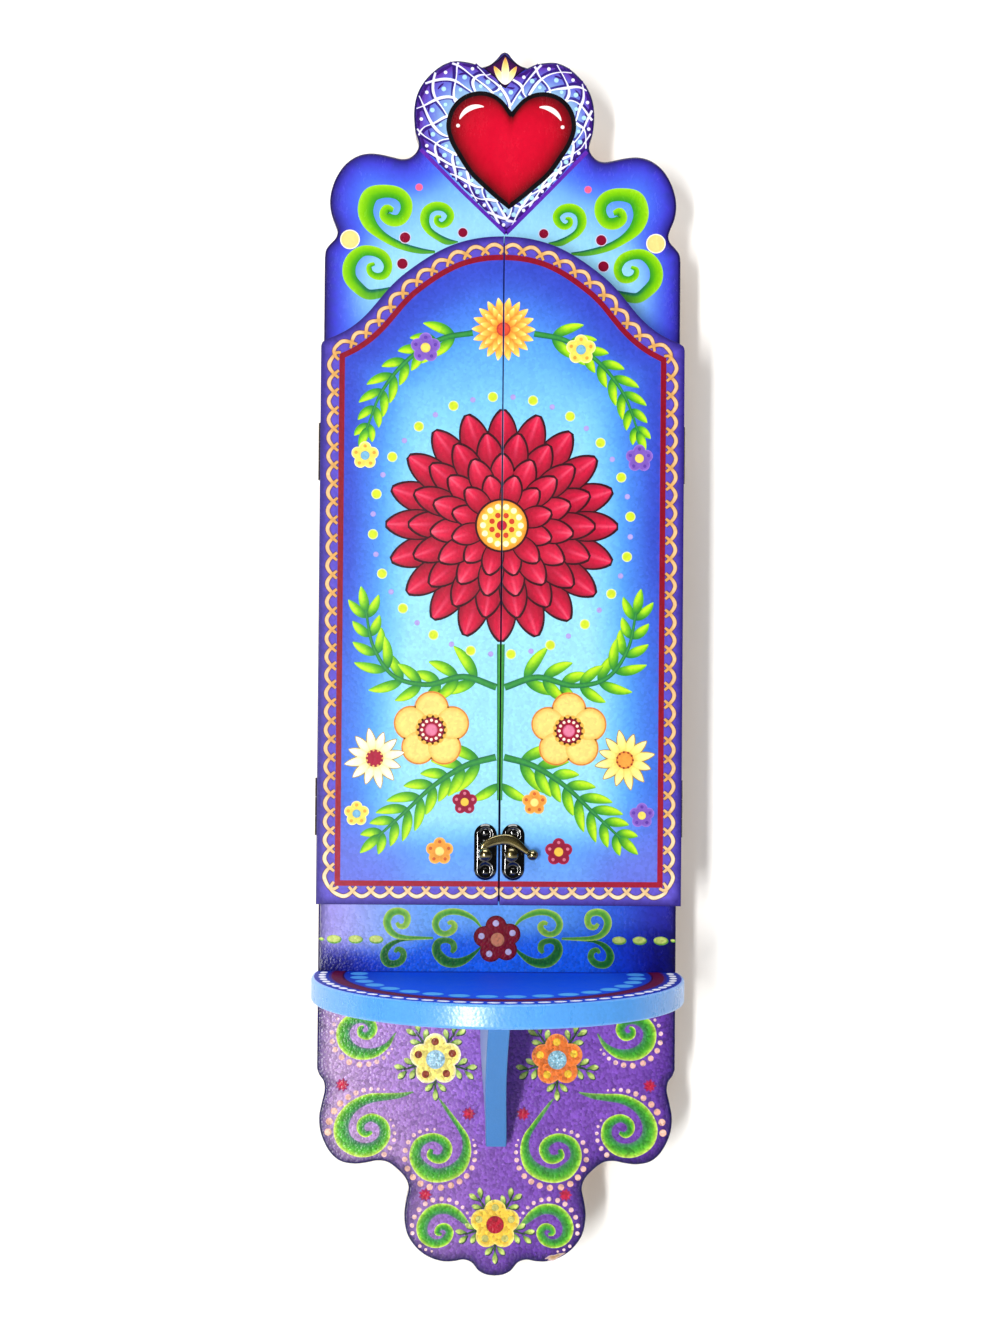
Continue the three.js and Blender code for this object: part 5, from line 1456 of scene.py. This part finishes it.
def turned(name, material, profile, x, z, y, sides=36, body="left_door", node=None, slot="antique_bronze", front=True, wobble=0.0):
    """A turned piece standing along Y from its profile (radius, height)."""
    b = Build()
    pr = np.array(profile, float)
    a = np.arange(sides) / sides * 2 * math.pi
    sg = -1 if front else 1
    rings = []
    for r, h in pr:
        rr_ = r * (1 + wobble * np.sin(5 * a))
        rings.append(np.stack([x + rr_ * np.cos(a), np.full(sides, y + sg * h), z + rr_ * np.sin(a)], 1))
    for k in range(len(rings) - 1):
        p, q = rings[k], rings[k + 1]
        if pr[k, 0] < 1e-6:
            b.add(np.stack([p, q, np.roll(q, -1, 0)], 1), rgb(90, 80, 60))
        elif pr[k + 1, 0] < 1e-6:
            b.add(np.stack([p, q, np.roll(p, -1, 0)], 1), rgb(90, 80, 60))
        else:
            b.add(ring_quads(p, q), rgb(90, 80, 60))
    ob = outward(b.make(name, material, angle=35))
    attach(ob, body)
    if node:
        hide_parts(node)
    return ob


def dome(r, h, n=7, base=0.0):
    return [(r * math.sin(math.pi / 2 * k / n), base + h * math.cos(math.pi / 2 * k / n)) for k in range(n + 1)]


for s, word in ((-1, "left"), (1, "right")):
    for v_, tag in ((1, "upper"), (-1, "lower")):
        prof = [*dome(1.9, 0.62, 5), (1.86, -0.12), (0.6, -0.14), (0.6, -4.0), (0.0, -5.0)]
        turned(f"catch_nail_{word}_{tag}", BRONZE_MAT, prof, s * PLATE_X, PLATE_Z + 9.5 * v_, PLATE_FRONT + 0.8, 20,
               f"{word}_door", f"latch_nail_{word}_{tag}", wobble=0.03)
turned("catch_pivot_rivet", BRASS_MAT,
       [*dome(3.1, 2.2, 9, 2.4), (3.2, 2.32), (3.05, 2.22), (1.0, 2.2), (1.0, -3.0), (0, -3.0)], *PIVOT, PLATE_FRONT, 40, "left_door", "latch_pivot")
turned("catch_stud", BRASS_MAT,
       [*dome(3.25, 1.7, 9, 1.65), (3.28, 1.5), (3.0, 0.95), (2.55, 0.5), (2.5, 0.12), (1.0, 0.06), (1.0, -3.0), (0, -3.0)], *STUD, PLATE_FRONT, 40, "right_door", "latch_stud")

# hook: round-sided arm on an eye, and a ball at its end
line = resample(spline(HOOK_LINE, 8), 0.45)
tg = tangents(line[:, :2])
nr = np.stack([-tg[:, 1], tg[:, 0]], 1)
ym = HOOK_BACK - HOOK_T / 2
sec = np.linspace(0, 2 * math.pi, 21)[:-1]
b = Build()
rings = []
for k in range(len(line)):
    w = line[k, 2]
    c, s_ = np.cos(sec), np.sin(sec)
    off = np.sign(c) * np.abs(c) ** 0.8 * w
    dep = np.sign(s_) * np.abs(s_) ** 0.8 * HOOK_T / 2
    rings.append(np.stack([line[k, 0] + nr[k, 0] * off, ym - dep, line[k, 1] + nr[k, 1] * off], 1))
for k in range(len(rings) - 1):
    b.add(ring_quads(rings[k], rings[k + 1]), rgb(90, 80, 60))
for k, fl in ((0, True), (len(rings) - 1, False)):
    c = rings[k].mean(0)
    tri = np.stack([np.broadcast_to(c, rings[k].shape), rings[k], np.roll(rings[k], -1, 0)], 1)
    b.add(tri[:, ::-1] if fl else tri, rgb(90, 80, 60))
# eye
eye_pr = [(1.1, 0.12), (1.2, 0.0), (2.75, 0.0), (3.0, 0.1), (3.1, 0.35), (3.1, 1.45), (3.0, 1.7), (2.75, 1.8), (1.2, 1.8), (1.1, 1.68)]
a = np.arange(40) / 40 * 2 * math.pi
er = [np.stack([PIVOT[0] + r * np.cos(a), np.full(40, HOOK_BACK - h), PIVOT[1] + r * np.sin(a)], 1) for r, h in eye_pr]
for k in range(len(er)):
    b.add(ring_quads(er[k], er[(k + 1) % len(er)]), rgb(90, 80, 60))
# ball
lat = np.linspace(0, math.pi, 19)
br = [np.stack([BALL[0] + BALL_R * math.sin(t) * np.cos(a), np.full(40, HOOK_BACK - BALL_R - BALL_R * math.cos(t) * 0.98), BALL[1] + BALL_R * math.sin(t) * np.sin(a)], 1) for t in lat]
for k in range(len(br) - 1):
    p, q = br[k], br[k + 1]
    if k == 0:
        b.add(np.stack([p, q, np.roll(q, -1, 0)], 1), rgb(90, 80, 60))
    elif k == len(br) - 2:
        b.add(np.stack([p, q, np.roll(p, -1, 0)], 1), rgb(90, 80, 60))
    else:
        b.add(ring_quads(p, q), rgb(90, 80, 60))
hook = outward(b.make("swing_hook", BRASS_MAT, angle=50))
rm = hook.modifiers.new("one_casting", "REMESH")
rm.mode, rm.voxel_size = "VOXEL", 0.14 * MM
rm.use_smooth_shade = True
sm = hook.modifiers.new("soften", "SMOOTH")
sm.factor, sm.iterations = 0.5, 4
bpy.context.view_layer.update()
new = bpy.data.meshes.new_from_object(hook.evaluated_get(bpy.context.evaluated_depsgraph_get()))
hook.modifiers.clear()
hook.data = new
new.shade_smooth()
if not new.materials:
    new.materials.append(BRASS_MAT)
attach(hook, "hook")
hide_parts("latch_hook")

# --------------------------------------------- cabinet, hinges, screws, hanger
for name, ob in NODES.items():
    if name.startswith("cabinet_"):
        mat = CABINET_MAT
        width = 0.5
    elif name.startswith("hinge_"):
        mat = HINGE_MAT
        width = 0.12
    elif name.startswith(("shelf_screw", "bracket_screw", "hanger_")):
        mat = ZINC_MAT
        width = 0.15
    else:
        continue
    ob.data.materials.clear()
    ob.data.materials.append(mat)
    md = ob.modifiers.new("eased_edges", "BEVEL")
    md.width, md.segments, md.limit_method, md.angle_limit = width * MM, 2, "ANGLE", math.radians(42)

# ---------------------------------------------------------------- stage, camera
wall_mat, nt, bsdf = nodes_of("pale_wall")
bsdf.inputs["Base Color"].default_value = (0.95, 0.95, 0.94, 1)
bsdf.inputs["Roughness"].default_value = 0.9
bsdf.inputs["Specular IOR Level"].default_value = 0.1
out = next(n for n in nt.nodes if n.type == "OUTPUT_MATERIAL")
geo = nt.nodes.new("ShaderNodeNewGeometry")
clear = nt.nodes.new("ShaderNodeBsdfTransparent")
mix = nt.nodes.new("ShaderNodeMixShader")
nt.links.new(geo.outputs["Backfacing"], mix.inputs[0])
nt.links.new(bsdf.outputs[0], mix.inputs[1])
nt.links.new(clear.outputs[0], mix.inputs[2])
nt.links.new(mix.outputs[0], out.inputs[0])
floor_mat, nt2, bs2 = nodes_of("pale_floor")
bs2.inputs["Base Color"].default_value = (0.82, 0.82, 0.81, 1)
bs2.inputs["Roughness"].default_value = 0.85


def stage_plane(name, corners, mat):
    me = bpy.data.meshes.new(name)
    me.from_pydata(corners, [], [(0, 1, 2, 3)])
    ob = bpy.data.objects.new(name, me)
    bpy.context.scene.collection.objects.link(ob)
    me.materials.append(mat)
    return ob


wall = stage_plane("backdrop_wall", [(-3, 0.03, -0.9), (3, 0.03, -0.9), (3, 0.03, 3), (-3, 0.03, 3)], wall_mat)
wall.visible_shadow = False
stage_plane("floor", [(-4, -4, -0.9), (4, -4, -0.9), (4, 4, -0.9), (-4, 4, -0.9)], floor_mat)

world = bpy.data.worlds.new("studio")
world.use_nodes = True
bg = world.node_tree.nodes["Background"]
bg.inputs[0].default_value = (0.93, 0.96, 1.0, 1)
bg.inputs[1].default_value = 0.05
bpy.context.scene.world = world


def softbox(name, place, aim, size, power, colour=(1, 1, 1)):
    lt = bpy.data.lights.new(name, "AREA")
    lt.shape = "RECTANGLE"
    lt.size, lt.size_y = size
    lt.energy = power
    lt.color = colour
    ob = bpy.data.objects.new(name, lt)
    ob.location = place
    ob.rotation_mode = "QUATERNION"
    ob.rotation_quaternion = (Vector(aim) - Vector(place)).to_track_quat("-Z", "Y")
    bpy.context.scene.collection.objects.link(ob)
    return ob


softbox("key", (-0.93, -2.83, -0.3), (0, 0, -0.05), (0.2, 1.2), 70, (1.0, 0.99, 0.97))
softbox("top_fill", (-0.06, -1.3, 1.75), (0, 0, 0.05), (1.8, 0.9), 33)
softbox("back_fill", (-0.6, 1.6, 0.9), (0, 0, 0), (1.6, 1.2), 26)

cam = bpy.data.cameras.new("camera")
cam.sensor_width = 36.0
cam.lens = 1960.0 / 1333.0 * 36.0
cam.clip_start, cam.clip_end = 0.05, 30.0
ob = bpy.data.objects.new("camera", cam)
bpy.context.scene.collection.objects.link(ob)
pitch, yaw, roll = (math.radians(v) for v in (0.77026, -1.41546, -0.49760))
turn = Matrix.Rotation(roll, 3, "Y") @ Matrix.Rotation(pitch, 3, "X") @ Matrix.Rotation(yaw, 3, "Z")
r_, f_, u_ = (turn @ Vector(v) for v in ((1, 0, 0), (0, 1, 0), (0, 0, 1)))
ob.matrix_world = Matrix(((r_[0], u_[0], -f_[0], -0.02384), (r_[1], u_[1], -f_[1], -0.98726), (r_[2], u_[2], -f_[2], -0.01590), (0, 0, 0, 1)))
bpy.context.scene.camera = ob

bpy.context.scene.view_settings.view_transform = "Standard"
bpy.context.scene.view_settings.look = "None"
